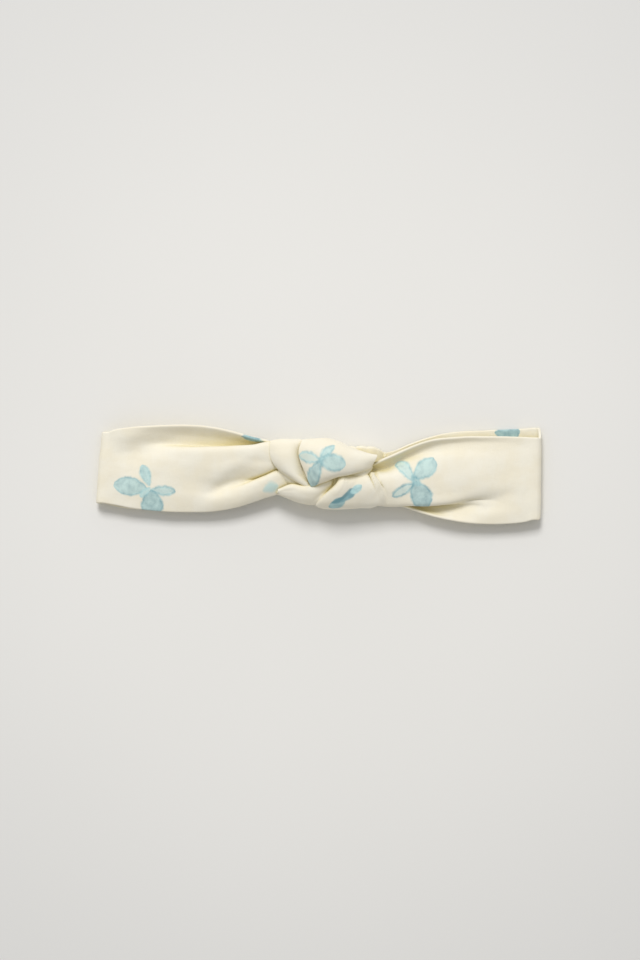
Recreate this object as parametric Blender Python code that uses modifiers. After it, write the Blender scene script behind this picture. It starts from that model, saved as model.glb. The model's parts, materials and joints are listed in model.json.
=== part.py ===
"""Knotted headband, lying flat.

One printed cotton tube is tied in an overhand knot at the front. Its two ends are sewn to a shorter,
gathered casing that holds a woven elastic, and the ring so made lies flattened, front layer over back
layer. +X runs along the band, +Y across it, +Z up, and z = 0 is the surface that it lies on.

The ring opens for the head as six stiff lengths: casing, two back bands, two front bands and the knot.
"""
import math

import bmesh
import bpy

MM = 0.001

# Driving dimensions, in millimetres.
FLAT_LENGTH = 210.0
BAND_THICKNESS = 2.4
EDGE_THICKNESS = 0.45          # share of the band's thickness that is left at its two edges
FOLD_RADIUS = 2.5              # of the turn from back layer to front layer, at mid thickness
HINGE_X = 31.0                 # of the knot's two bends and of the casing's two seams, from the middle
BEND_GAP = 1.1                 # from a bend's axis to the piece on each side
PIECE_GAP = 0.35               # between pieces that touch
STRAIGHT_SHARE = 0.7           # share of a band's rows that lie before its fold
CASING_HALF_WIDTH = 13.6
CASING_HEIGHT = 5.0
CASING_WALL = 0.5
CASING_MIDDLE_Y = 0.4
GATHER_PITCH = 4.4
GATHER_DEPTH = 0.35
ELASTIC_WIDTH = 22.0
ELASTIC_THICKNESS = 1.0
ELASTIC_SOFTNESS = 0.3         # width of the bevel on the tape's edges
SEAM_RADIUS = 1.0
THREAD_RADIUS = 0.22
THREAD_CLEARANCE = 0.12        # between a thread and the cloth under it
TACK_STITCHES = 12
TACK_INSET = 1.2               # from the elastic's end to the tack
TACK_WIDTH = 2.0
TACK_MARGIN = 2.0              # from the elastic's side edges to the tack
JOIN_STITCHES = 16
JOIN_INSET = 1.6               # from the band's end to the row of stitches
JOIN_WIDTH = 0.5
JOIN_MARGIN = 4.0              # from the band's side edges to the row
TUBE_SEAM_MARGIN = 5.0         # from the band's end to the lengthwise seam's first stitch
TUBE_SEAM_STEPS = 10

# Heights of the three levels of bends. The fold's axis is midway, so that the ring closes at any angle.
BACK_Z = BAND_THICKNESS / 2
FOLD_Z = BACK_Z + FOLD_RADIUS
FRONT_Z = BACK_Z + 2 * FOLD_RADIUS
END_X = FLAT_LENGTH / 2 - BAND_THICKNESS / 2

# Edges of each band seen from above: (distance from the middle, lower edge, upper edge).
FRONT_LEFT_EDGES = ((31, -11.6, 17.6), (45, -16.0, 20.0), (63, -17.2, 22.6), (85, -15.5, 22.4),
                    (105, -13.0, 20.6))
FRONT_RIGHT_EDGES = ((31, -13.3, 9.0), (38, -13.8, 11.6), (52, -18.7, 16.3), (68, -22.2, 18.2),
                     (85, -23.0, 18.2), (105, -21.0, 18.2))
BACK_LEFT_EDGES = ((31, -13.0, 14.0), (50, -15.0, 17.5), (75, -16.5, 21.0), (105, -13.0, 20.6))
BACK_RIGHT_EDGES = ((31, -13.0, 14.0), (50, -15.0, 18.0), (68, -17.0, 21.0), (105, -18.5, 23.0))

# The knot is a barrel along X, flattened at the back, and its wraps are parts of the barrel's skin.
BARREL_MIDDLE = (4.5, 1.2, 12.8)
BARREL_HALF_WIDTH = 14.9
BARREL_RISE = 7.8
BARREL_DROP = 6.6
BARREL_SWELL = 44.0            # half length at which the barrel's radius would reach zero
WRAP_THICKNESS = 1.4
KNOT_LEFT, CREASE_X, KNOT_RIGHT = -22.0, -8.2, 30.0
WRAP_START = -58.0             # angle at which the wraps leave the back, in degrees; 0 is +Y and 90 is up
WRAP_START_AT_ENDS = -22.0     # the same at the knot's two ends, where the bands come in
TIP_X = -4.5
TIP_ANGLE = 113.0
PINCH_X = 23.0
PINCH_ANGLE = 86.0
LOWER_PASS_END = 232.0
LOWER_PASS_END_AT_ENDS = 204.0
LOWER_TIP_X = -19.0
LOWER_TIP_ANGLE = 126.0
TAIL_END_X = 13.0              # how near to the middle a band's end reaches inside the knot
TAIL_HALF_WIDTH = 8.0
TAIL_THICKNESS = 2.0
TAIL_RISE = 3.6
CORE_OFFSET = (-3.5, 0.0, -0.2)   # from the barrel's middle
CORE_RADII = (9.0, 8.5, 4.2)


def clear_scene():
    for old in list(bpy.data.objects):
        bpy.data.objects.remove(old, do_unlink=True)


def material(name, colour, roughness):
    made = bpy.data.materials.new(name)
    made.use_nodes = True
    shader = made.node_tree.nodes["Principled BSDF"]
    shader.inputs["Base Color"].default_value = (*colour, 1.0)
    shader.inputs["Roughness"].default_value = roughness
    shader.inputs["Metallic"].default_value = 0.0
    return made


def collection(name):
    made = bpy.data.collections.new(name)
    bpy.context.scene.collection.children.link(made)
    return made


def mix(a, b, share):
    return a + (b - a) * share


def along_table(table, distance):
    """The lower and upper edge at this distance, eased between the table's rows."""
    for (x0, low0, high0), (x1, low1, high1) in zip(table, table[1:]):
        if distance <= x1:
            share = min(max((distance - x0) / (x1 - x0), 0.0), 1.0)
            return mix(low0, low1, share), mix(high0, high1, share)
    return table[-1][1:]


def add_object(name, mesh, finish, home, origin):
    """Links the mesh, given in the part's frame, as an object whose origin is on its own joint's axis."""
    made = bpy.data.objects.new(name, mesh)
    for vertex in mesh.vertices:
        for axis in range(3):
            vertex.co[axis] -= origin[axis] * MM
    made.location = [value * MM for value in origin]
    mesh.materials.append(finish)
    home.objects.link(made)
    return made


def sheet(name, place, along, across, thickness, finish, home, origin=(0, 0, 0), crown=True, offset=0.0):
    """A grid laid out by place(s, t), both from 0 to 1, then given its thickness, less at its side edges.

    offset is the Solidify modifier's: 0 grows both ways from the grid, 1 along its normal and -1 against it.
    """
    bm = bmesh.new()
    bmesh.ops.create_grid(bm, x_segments=along, y_segments=across, size=0.5)
    shares = [(vertex.co.x + 0.5, vertex.co.y + 0.5) for vertex in bm.verts]
    for vertex, (s, t) in zip(bm.verts, shares):
        vertex.co = [value * MM for value in place(s, t)]
    mesh = bpy.data.meshes.new(name)
    bm.to_mesh(mesh)
    bm.free()
    made = add_object(name, mesh, finish, home, origin)
    solid = made.modifiers.new("thickness", "SOLIDIFY")
    solid.thickness = thickness * MM
    solid.offset = offset
    if crown:
        group = made.vertex_groups.new(name="crown")
        for index, (_, t) in enumerate(shares):
            group.add([index], math.sqrt(max(1.0 - (2 * t - 1) ** 2, 0.0)), "REPLACE")
        solid.vertex_group = "crown"
        solid.thickness_vertex_group = EDGE_THICKNESS
    mesh.shade_smooth()
    return made


def thread(name, points, finish, home, origin=(0, 0, 0)):
    """A sewing thread: a round tube with closed ends through points in millimetres."""
    curve = bpy.data.curves.new(name, "CURVE")
    curve.dimensions = "3D"
    curve.bevel_depth = THREAD_RADIUS * MM
    curve.bevel_resolution = 1
    curve.use_fill_caps = True
    spline = curve.splines.new("POLY")
    spline.points.add(len(points) - 1)
    for point, place in zip(spline.points, points):
        point.co = [(value - start) * MM for value, start in zip(place, origin)] + [1.0]
    made = bpy.data.objects.new(name, curve)
    made.location = [value * MM for value in origin]
    curve.materials.append(finish)
    home.objects.link(made)
    return made


def band(name, side, level, table, finish, home, origin):
    """One arm of the ring on one side, from its bend at the middle to the outermost line of the fold.

    The grid is its outer face, which is flat up to the fold, and the thickness grows inward.
    """
    start = HINGE_X + BEND_GAP
    turn_start = END_X - FOLD_RADIUS
    rise = 1 if level == BACK_Z else -1
    outer_radius = FOLD_RADIUS + BAND_THICKNESS / 2
    outer_z = level - rise * BAND_THICKNESS / 2
    # The turn stops short of the outermost line, where the other layer's turn begins.
    last_angle = math.pi / 2 - 1.6 * PIECE_GAP / FOLD_RADIUS

    def place(s, t):
        if s <= STRAIGHT_SHARE:
            x, z = mix(start, turn_start, s / STRAIGHT_SHARE), outer_z
        else:
            angle = last_angle * (s - STRAIGHT_SHARE) / (1 - STRAIGHT_SHARE)
            x = turn_start + outer_radius * math.sin(angle)
            z = outer_z + rise * outer_radius * (1 - math.cos(angle))
        low, high = along_table(table, x)
        return side * x, mix(low, high, t), z

    # A grid mirrored to the left has its normal down, so the way inward changes sign with the side.
    return sheet(name, place, 20, 6, BAND_THICKNESS, finish, home, origin, offset=side * rise)


def casing(finish, home):
    """The gathered sleeve round the elastic, open at both ends, where the band's ends are sewn on."""
    length = 2 * (HINGE_X - BEND_GAP - SEAM_RADIUS / 2)
    half_height = CASING_HEIGHT / 2 - GATHER_DEPTH - CASING_WALL / 2

    def place(s, t):
        angle = 2 * math.pi * t
        x = (s - 0.5) * length
        ripple = GATHER_DEPTH * math.cos(2 * math.pi * x / GATHER_PITCH)
        y = CASING_MIDDLE_Y + (CASING_HALF_WIDTH - CASING_WALL / 2 + 0.5 * ripple) * math.cos(angle)
        rounded = math.copysign(abs(math.sin(angle)) ** 0.6, math.sin(angle))
        z = CASING_HEIGHT / 2 + (half_height + ripple) * rounded
        return x, y, z

    made = sheet("elastic_casing", place, 42, 12, CASING_WALL, finish, home, crown=False)
    bm = bmesh.new()
    bm.from_mesh(made.data)
    bmesh.ops.remove_doubles(bm, verts=bm.verts, dist=1e-6)
    bmesh.ops.recalc_face_normals(bm, faces=bm.faces)
    bm.to_mesh(made.data)
    bm.free()
    return made


def elastic(finish, home):
    """The woven elastic tape inside the casing, as a flat bar with softened edges."""
    bm = bmesh.new()
    bmesh.ops.create_cube(bm, size=1.0)
    length = 2 * (HINGE_X - BEND_GAP - SEAM_RADIUS)
    for vertex in bm.verts:
        vertex.co = (vertex.co.x * length * MM, vertex.co.y * ELASTIC_WIDTH * MM,
                     vertex.co.z * ELASTIC_THICKNESS * MM)
    mesh = bpy.data.meshes.new("elastic_tape")
    bm.to_mesh(mesh)
    bm.free()
    for vertex in mesh.vertices:
        vertex.co.y += CASING_MIDDLE_Y * MM
        vertex.co.z += CASING_HEIGHT / 2 * MM
    made = add_object("elastic_tape", mesh, finish, home, (0, 0, 0))
    soft = made.modifiers.new("soft_edges", "BEVEL")
    soft.width = ELASTIC_SOFTNESS * MM
    soft.segments = 2
    return made


def zigzag(x0, x1, y0, y1, z, stitches):
    """Points of a bar tack: a thread that runs to and fro between x0 and x1 while it steps from y0 to y1."""
    return [(x1 if step % 2 else x0, mix(y0, y1, step / stitches), z) for step in range(stitches + 1)]


def tack(name, side, finish, home):
    """The bar tack that holds one end of the elastic to the seam."""
    end = HINGE_X - BEND_GAP - SEAM_RADIUS
    z = CASING_HEIGHT / 2 + ELASTIC_THICKNESS / 2 + THREAD_RADIUS + THREAD_CLEARANCE
    reach = ELASTIC_WIDTH / 2 - TACK_MARGIN
    points = zigzag(side * (end - TACK_INSET - TACK_WIDTH), side * (end - TACK_INSET),
                    CASING_MIDDLE_Y - reach, CASING_MIDDLE_Y + reach, z, TACK_STITCHES)
    return thread(name, points, finish, home)


def seam_ridge(name, side, finish, home):
    """The turned-in seam allowance where casing and band meet: a round ridge on the bend's axis."""
    low, high = BACK_LEFT_EDGES[0][1:]
    bm = bmesh.new()
    bmesh.ops.create_cone(bm, cap_ends=True, segments=14, radius1=SEAM_RADIUS * MM, radius2=SEAM_RADIUS * MM,
                          depth=(high - low - 1.0) * MM)
    for vertex in bm.verts:
        vertex.co = (side * HINGE_X * MM + vertex.co.x, (low + high) / 2 * MM + vertex.co.z,
                     BACK_Z * MM - vertex.co.y)
    bmesh.ops.recalc_face_normals(bm, faces=bm.faces)
    mesh = bpy.data.meshes.new(name)
    bm.to_mesh(mesh)
    bm.free()
    mesh.shade_smooth()
    return add_object(name, mesh, finish, home, (side * HINGE_X, 0, BACK_Z))


def join_stitches(name, side, finish, home, origin):
    """The row of machine stitches that closes the band's end over the seam allowance."""
    low, high = BACK_LEFT_EDGES[0][1:]
    z = BAND_THICKNESS + THREAD_RADIUS + THREAD_CLEARANCE
    near = HINGE_X + BEND_GAP + JOIN_INSET
    points = zigzag(side * near, side * (near + JOIN_WIDTH), low + JOIN_MARGIN, high - JOIN_MARGIN, z,
                    JOIN_STITCHES)
    return thread(name, points, finish, home, origin)


def tube_seam(name, side, level, table, finish, home, origin):
    """The thread of the lengthwise seam that makes the strip a tube, on the face against the head."""
    inward = 1 if level == BACK_Z else -1
    z = level + inward * (BAND_THICKNESS / 2 + THREAD_RADIUS + THREAD_CLEARANCE)
    first = HINGE_X + BEND_GAP + TUBE_SEAM_MARGIN
    last = END_X - FOLD_RADIUS - TUBE_SEAM_MARGIN
    points = []
    for step in range(TUBE_SEAM_STEPS + 1):
        x = mix(first, last, step / TUBE_SEAM_STEPS)
        low, high = along_table(table, x)
        points.append((side * x, (low + high) / 2, z))
    return thread(name, points, finish, home, origin)


def on_barrel(x, degrees):
    """The point of the knot's skin at this x and this angle round it: 0 is +Y, 90 is up, 270 is the back."""
    middle_x, middle_y, middle_z = BARREL_MIDDLE
    shrink = math.sqrt(1 - ((x - middle_x) / BARREL_SWELL) ** 2)
    angle = math.radians(degrees)
    depth = BARREL_RISE * shrink if math.sin(angle) > 0 else BARREL_DROP
    return x, middle_y + BARREL_HALF_WIDTH * shrink * math.cos(angle), middle_z + depth * math.sin(angle)


def lower_edge(x):
    """The angle at which the wraps over the front end and the lower pass begins, for a place along X."""
    if x < TIP_X:
        share = (x - LOWER_TIP_X) / (TIP_X - LOWER_TIP_X)
        return mix(LOWER_TIP_ANGLE, TIP_ANGLE, max(share, 0.0))
    share = min((x - TIP_X) / (PINCH_X - TIP_X), 1.0)
    return mix(TIP_ANGLE, PINCH_ANGLE, share)


def crease(s):
    """Where the left wrap and the centre wrap meet, along X, from the back to the tip."""
    return mix(CREASE_X, TIP_X, s ** 4)


def left_wrap(finish, home):
    def place(s, t):
        left = mix(KNOT_LEFT, TIP_X - 2.4, max(0.0, (s - 0.45) / 0.55) ** 1.5)
        right = crease(s) - PIECE_GAP - 0.1
        start = mix(WRAP_START_AT_ENDS, WRAP_START, t)
        return on_barrel(mix(left, right, t), mix(start, TIP_ANGLE - 2.5, s))

    return sheet("knot_left_wrap", place, 16, 4, WRAP_THICKNESS, finish, home, crown=False)


def centre_wrap(finish, home):
    def place(s, t):
        right = mix(KNOT_RIGHT, PINCH_X, s ** 3)
        x = mix(crease(s), right, t)
        return on_barrel(x, mix(mix(WRAP_START, WRAP_START_AT_ENDS, t ** 3), lower_edge(x) - 2.0, s))

    return sheet("knot_centre_wrap", place, 16, 8, WRAP_THICKNESS, finish, home, crown=False)


def lower_pass(finish, home):
    def place(s, t):
        x = mix(LOWER_TIP_X, KNOT_RIGHT, s)
        right_share = min(max((x - PINCH_X) / (KNOT_RIGHT - PINCH_X), 0.0), 1.0)
        first = lower_edge(x) + 4.5 + 14.0 * right_share
        last = mix(LOWER_PASS_END, LOWER_PASS_END_AT_ENDS, abs(2 * s - 1) ** 3)
        return on_barrel(x, mix(first, last, t))

    return sheet("knot_lower_pass", place, 16, 8, WRAP_THICKNESS, finish, home, crown=False)


def back_pass(finish, home):
    def place(s, t):
        x = mix(KNOT_LEFT + 3.0, KNOT_RIGHT - 8.0, s)
        return on_barrel(x, mix(LOWER_PASS_END + 6.0, 360.0 + WRAP_START - 6.0, t))

    return sheet("knot_back_pass", place, 10, 4, WRAP_THICKNESS, finish, home, crown=False)


def tail(name, side, edges, inner_y, finish, home):
    """The end of a front band inside the knot's skin, rising from the bend's level."""
    low, high = edges[0][1:]

    def place(s, t):
        x = mix(HINGE_X - BEND_GAP, TAIL_END_X, s)
        narrowed = min(s / 0.4, 1.0)
        y0 = mix(low, inner_y - TAIL_HALF_WIDTH, narrowed)
        y1 = mix(high, inner_y + TAIL_HALF_WIDTH, narrowed)
        return side * x, mix(y0, y1, t), FRONT_Z + TAIL_RISE * math.sin(s * math.pi / 2)

    return sheet(name, place, 10, 6, TAIL_THICKNESS, finish, home)


def knot_core(finish, home):
    """The hidden middle of the knot, where the strip crosses itself."""
    bm = bmesh.new()
    bmesh.ops.create_uvsphere(bm, u_segments=16, v_segments=8, radius=1.0)
    centre = [middle + offset for middle, offset in zip(BARREL_MIDDLE, CORE_OFFSET)]
    for vertex in bm.verts:
        for axis in range(3):
            vertex.co[axis] = (centre[axis] + CORE_RADII[axis] * vertex.co[axis]) * MM
    mesh = bpy.data.meshes.new("knot_core")
    bm.to_mesh(mesh)
    bm.free()
    mesh.shade_smooth()
    return add_object("knot_core", mesh, finish, home, (0, 0, 0))


def build():
    clear_scene()
    home = collection("knotted_headband")
    cotton = material("printed_cotton", (0.87, 0.82, 0.70), 0.85)
    web = material("elastic_web", (0.90, 0.89, 0.85), 0.80)
    sewing = material("sewing_thread", (0.93, 0.90, 0.82), 0.60)

    casing(cotton, home)
    elastic(web, home)
    sides = (("left", -1, FRONT_LEFT_EDGES, BACK_LEFT_EDGES),
             ("right", 1, FRONT_RIGHT_EDGES, BACK_RIGHT_EDGES))
    for word, side, front_edges, back_edges in sides:
        seam_axis = (side * HINGE_X, 0, BACK_Z)
        fold_axis = (side * FLAT_LENGTH / 2, 0, FOLD_Z)
        knot_axis = (side * HINGE_X, 0, FRONT_Z)
        # Each piece has its origin on the joint that carries it along the chain casing, left, knot, right.
        back_axis, front_axis = (seam_axis, fold_axis) if side < 0 else (fold_axis, knot_axis)
        tack(f"elastic_tack_{word}", side, sewing, home)
        seam_ridge(f"join_seam_{word}", side, cotton, home)
        band(f"back_band_{word}", side, BACK_Z, back_edges, cotton, home, back_axis)
        join_stitches(f"join_stitches_{word}", side, sewing, home, back_axis)
        tube_seam(f"tube_seam_back_{word}", side, BACK_Z, back_edges, sewing, home, back_axis)
        band(f"front_band_{word}", side, FRONT_Z, front_edges, cotton, home, front_axis)
        tube_seam(f"tube_seam_front_{word}", side, FRONT_Z, front_edges, sewing, home, front_axis)

    tail("knot_left_tail", -1, FRONT_LEFT_EDGES, 1.0, cotton, home)
    tail("knot_right_tail", 1, FRONT_RIGHT_EDGES, 0.0, cotton, home)
    knot_core(cotton, home)
    left_wrap(cotton, home)
    centre_wrap(cotton, home)
    lower_pass(cotton, home)
    back_pass(cotton, home)


build()
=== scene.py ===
"""The looks of the knotted headband: cloth, knot, gathers, stitches, print, light and camera.

Every length in this script is in millimetres until it reaches a mesh, a node or a light. +X runs along
the band, +Y across it and +Z up. A band is laid out as a grid: rows follow the strip, columns go across it
from its lower edge to its upper edge. Each grid is the middle of a flattened cloth tube, which is then
given its two faces. u and v are places on the strip: u along it, v across it from its middle.
"""
import json
import math

import bpy
import numpy as np
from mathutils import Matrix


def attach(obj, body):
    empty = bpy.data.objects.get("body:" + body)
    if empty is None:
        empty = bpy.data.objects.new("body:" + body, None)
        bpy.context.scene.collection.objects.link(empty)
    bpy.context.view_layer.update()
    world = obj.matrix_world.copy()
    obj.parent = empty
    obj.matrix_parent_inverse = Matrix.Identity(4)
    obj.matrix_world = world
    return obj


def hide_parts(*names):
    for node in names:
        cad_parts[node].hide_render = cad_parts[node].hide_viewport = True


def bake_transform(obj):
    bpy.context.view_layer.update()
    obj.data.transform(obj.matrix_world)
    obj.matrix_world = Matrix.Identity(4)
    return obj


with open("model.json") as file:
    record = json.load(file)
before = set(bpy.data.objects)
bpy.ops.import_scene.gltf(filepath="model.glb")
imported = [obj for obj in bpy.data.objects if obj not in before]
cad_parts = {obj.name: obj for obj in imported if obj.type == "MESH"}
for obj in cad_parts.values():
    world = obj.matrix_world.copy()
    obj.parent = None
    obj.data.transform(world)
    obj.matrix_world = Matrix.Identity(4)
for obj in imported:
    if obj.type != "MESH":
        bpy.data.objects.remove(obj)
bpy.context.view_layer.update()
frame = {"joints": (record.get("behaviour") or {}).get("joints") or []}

MM = 0.001
JOINTS = {joint["name"]: [value / MM for value in joint["pos_m"]] for joint in frame["joints"]}

# Sizes that come from the CAD frame.
HINGE_X = JOINTS["knot_right_bend"][0]
FRONT_Z = JOINTS["knot_right_bend"][2]
BACK_Z = JOINTS["back_left_hinge"][2]
FOLD_Z = JOINTS["right_fold"][2]

# Cloth.
STRIP_WIDTH = 40.0  # finished width of the sewn tube
HALF_THICKNESS = 0.62  # of the flattened tube at its edges
PUFF = 0.30  # how much thicker, each way, the tube is in the middle
ROW_STEP = 0.6  # between the rows of a grid
COLUMNS = 66  # across the band, its two rounded edges left out
EDGE_STEPS = 5  # round each folded edge
END_ROW = 0.04  # how far into its last step a piece gets one more row
SAMPLES_PER_POINT = 12  # on the curve of a row, before its columns are placed
WAVES = 7  # crossing waves in a ripple
WAVES_SUM = 2.6  # near the square root of WAVES: brings their sum back to about one wave's height
THREAD_RADIUS = 0.13
FAR = 1e9  # further than anything here


# ---- curves and grids

def mix(a, b, share):
    return a + (b - a) * share


def spline(knots, rows, where):
    """Cubic curve through rows at knots, read at where. Rows may be arrays of any shape."""
    knots, rows = np.asarray(knots, float), np.asarray(rows, float)
    gaps = np.diff(knots)
    shape = (-1,) + (1,) * (rows.ndim - 1)
    slopes = np.diff(rows, axis=0) / gaps.reshape(shape)
    tangents = np.empty_like(rows)
    tangents[0], tangents[-1] = slopes[0], slopes[-1]
    before, after = gaps[:-1].reshape(shape), gaps[1:].reshape(shape)
    tangents[1:-1] = (slopes[:-1] * after + slopes[1:] * before) / (before + after)
    at = np.clip(np.searchsorted(knots, where, side="right") - 1, 0, len(gaps) - 1)
    t = ((np.asarray(where) - knots[at]) / gaps[at]).reshape(shape)
    gap = gaps[at].reshape(shape)
    return ((2 * t**3 - 3 * t**2 + 1) * rows[at] + (t**3 - 2 * t**2 + t) * gap * tangents[at]
            + (3 * t**2 - 2 * t**3) * rows[at + 1] + (t**3 - t**2) * gap * tangents[at + 1])


def walked(points):
    """Distance along a row of points, starting at 0."""
    return np.concatenate([[0.0], np.cumsum(np.linalg.norm(np.diff(points, axis=0), axis=1))])


def edge_shares(half, width, columns):
    """Where columns stand across a strip, from 0 to 1, and the share of the thickness at each.

    Both edges are round.
    """
    turn = np.linspace(0, math.pi / 2, EDGE_STEPS + 1)
    rim = half * (1 - np.cos(turn)) / width
    middle = np.linspace(rim[-1], 1 - rim[-1], columns)[1:-1]
    places = np.concatenate([rim, middle, 1 - rim[::-1]])
    shares = np.concatenate([np.sin(turn), np.ones(len(middle)), np.sin(turn)[::-1]])
    return places, shares


def lay_out(stations, places):
    """A fine grid through stations, each a row of as many points across the strip.

    Returns the grid, the distance of each row along the strip, and the index of the row nearest each station.
    """
    stations = np.asarray(stations, float)
    apart = np.linalg.norm(np.diff(stations, axis=0), axis=2).mean(axis=1)
    knots = np.concatenate([[0.0], np.cumsum(np.maximum(apart, 1e-3))])
    count = max(int(round(knots[-1] / ROW_STEP)) + 1, 4)
    where = np.linspace(0, knots[-1], count)
    rows = spline(knots, stations, where)
    grid = np.empty((count, len(places), 3))
    for index, row in enumerate(rows):
        chords = np.maximum(np.linalg.norm(np.diff(row, axis=0), axis=1), 1e-3) ** 0.6
        marks = np.concatenate([[0.0], np.cumsum(chords)])
        fine = spline(marks, row, np.linspace(0, marks[-1], SAMPLES_PER_POINT * len(row)))
        along = walked(fine)
        for axis in range(3):
            grid[index, :, axis] = np.interp(places * along[-1], along, fine[:, axis])
    nearest = [int(np.abs(where - knot).argmin()) for knot in knots]
    return grid, where, nearest


def normals_of(grid, outward):
    """Unit normals of a grid, on the side that outward, 1 or -1, names."""
    normals = np.cross(np.gradient(grid, axis=0), np.gradient(grid, axis=1)) * outward
    return normals / np.maximum(np.linalg.norm(normals, axis=2, keepdims=True), 1e-9)


def ripple(u, v, height, length, seed):
    """Soft unevenness of hand-laid cloth: a few crossing waves of about this height and length."""
    random = np.random.default_rng(seed)
    total = np.zeros(np.broadcast(u, v).shape)
    for _ in range(WAVES):
        turn, phase = random.uniform(0, math.pi), random.uniform(0, 2 * math.pi)
        pitch = length * random.uniform(0.6, 1.8)
        total += np.sin((u * math.cos(turn) + v * math.sin(turn)) * 2 * math.pi / pitch + phase)
    return height * total / WAVES_SUM


# ---- meshes

def mesh_object(name, points, faces, uvs=None):
    """A smooth mesh object from points in millimetres. uvs hold one pair for each corner of each face."""
    mesh = bpy.data.meshes.new(name)
    mesh.from_pydata((np.asarray(points) * MM).tolist(), [], faces)
    if uvs is not None:
        layer = mesh.uv_layers.new(name="strip")
        layer.data.foreach_set("uv", np.asarray(uvs, np.float32).ravel())
    mesh.shade_smooth()
    made = bpy.data.objects.new(name, mesh)
    bpy.context.scene.collection.objects.link(made)
    return made


def with_end_rows(grid):
    """The grid with one more row close to each end, which keeps the shading even up to the cut."""
    return np.concatenate([grid[:1], mix(grid[:1], grid[1:2], END_ROW), grid[1:-1],
                           mix(grid[-1:], grid[-2:-1], END_ROW), grid[-1:]])


def cloth_tube(name, middle, normals, u, places, up, down, width):
    """The two faces of a flattened tube round its middle grid, joined at the edges and closed at the ends.

    up and down are the distances of the outer and inner face from the middle. The strip's own coordinates,
    in millimetres, go into the UV map, and run on round the edges to the lengthwise seam on the inner face.
    """
    middle, normals, u, up, down = (with_end_rows(grid) for grid in (middle, normals, u, up, down))
    rows, columns = middle.shape[:2]
    outer = middle + normals * up[..., None]
    inner = (middle - normals * down[..., None])[:, 1:-1]
    points = np.concatenate([outer.reshape(-1, 3), inner.reshape(-1, 3)])
    top = np.arange(rows * columns).reshape(rows, columns)
    under = top.copy()
    under[:, 1:-1] = rows * columns + np.arange(rows * (columns - 2)).reshape(rows, columns - 2)
    v = (places - 0.5) * width
    faces, uvs = [], []
    flip = np.dot(np.cross(middle[1, 0] - middle[0, 0], middle[0, 1] - middle[0, 0]), normals[0, 0]) < 0

    def add(corners, coordinates, turned):
        if turned:
            corners, coordinates = corners[::-1], coordinates[::-1]
        faces.append([int(corner) for corner in corners])
        uvs.extend(coordinates)

    for i in range(rows - 1):
        for j in range(columns - 1):
            around = ((i, j), (i + 1, j), (i + 1, j + 1), (i, j + 1))
            add([top[a] for a in around], [(u[a], v[b]) for a, b in around], flip)
            side = width if places[j] + places[j + 1] > 1 else -width
            add([under[a] for a in around], [(u[a], side - v[b]) for a, b in around], not flip)
    for i, turned in ((0, flip), (rows - 1, not flip)):
        for j in range(columns - 1):
            around = [top[i, j], top[i, j + 1], under[i, j + 1], under[i, j]]
            corners = list(dict.fromkeys(around))
            add(corners, [(u[i], v[j])] * len(corners), turned)
    return mesh_object(name, points, faces, uvs)


def tube_faces(rings, sides):
    """Faces of a closed tube of that many rings of points, with a cap at each end."""
    faces = [[i * sides + j, i * sides + (j + 1) % sides,
              (i + 1) * sides + (j + 1) % sides, (i + 1) * sides + j]
             for i in range(rings - 1) for j in range(sides)]
    return faces + [list(range(sides))[::-1], [(rings - 1) * sides + j for j in range(sides)]]


def round_tube(path, radii, sides):
    """Points and faces of a closed round tube along a path, with a radius at each point of the path."""
    path = np.asarray(path, float)
    along = np.gradient(path, axis=0)
    along /= np.linalg.norm(along, axis=1, keepdims=True)
    helper = np.array([0.0, 0.0, 1.0]) if abs(along[:, 2]).max() < 0.8 else np.array([1.0, 0.0, 0.0])
    side = np.cross(along, helper)
    side /= np.linalg.norm(side, axis=1, keepdims=True)
    lift = np.cross(side, along)
    turns = np.linspace(0, 2 * math.pi, sides, endpoint=False)
    ring = side[:, None] * np.cos(turns)[None, :, None] + lift[:, None] * np.sin(turns)[None, :, None]
    points = (path[:, None] + ring * np.asarray(radii, float).reshape(-1, 1, 1)).reshape(-1, 3)
    return points, tube_faces(len(path), sides)


def merged(name, parts):
    """One object out of many (points, faces) pairs."""
    points, faces = [], []
    for some_points, some_faces in parts:
        faces += [[corner + len(points) for corner in face] for face in some_faces]
        points += list(some_points)
    return mesh_object(name, points, faces)


def stitch(start, end, out, bow):
    """One stitch: a short thread that bows out between its ends and tapers into the cloth."""
    shares = np.linspace(0, 1, 7)
    arch = np.sin(math.pi * shares)
    path = start + (end - start) * shares[:, None] + out * (arch * bow)[:, None]
    return round_tube(path, THREAD_RADIUS * (0.35 + 0.65 * arch ** 0.5), 8)


def press(middle, normals, strokes, lowest):
    """Creases and ridges drawn on the cloth as seen from above, where it lies higher than lowest.

    Each stroke is a run of (x, y, depth, width) points. A negative depth is a ridge.
    """
    depth = np.zeros(middle.shape[:2])
    for stroke in strokes:
        stroke = np.asarray(stroke, float)
        nearest = np.full(depth.shape, FAR)
        pushed = np.zeros(depth.shape)
        for a, b in zip(stroke, stroke[1:]):
            along = b[:2] - a[:2]
            share = np.clip(((middle[..., :2] - a[:2]) @ along) / (along @ along), 0, 1)
            off = np.linalg.norm(middle[..., :2] - a[:2] - share[..., None] * along, axis=2)
            values = a[2:] + (b[2:] - a[2:]) * share[..., None]
            closer = off < nearest
            nearest = np.where(closer, off, nearest)
            pushed = np.where(closer, values[..., 0] * np.exp(-(off / values[..., 1]) ** 2), pushed)
        depth += pushed
    high = np.clip((middle[..., 2] - lowest) / 0.8, 0, 1) * np.clip(normals[..., 2] * 2, 0, 1)
    return middle - normals * (depth * high)[..., None]


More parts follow.
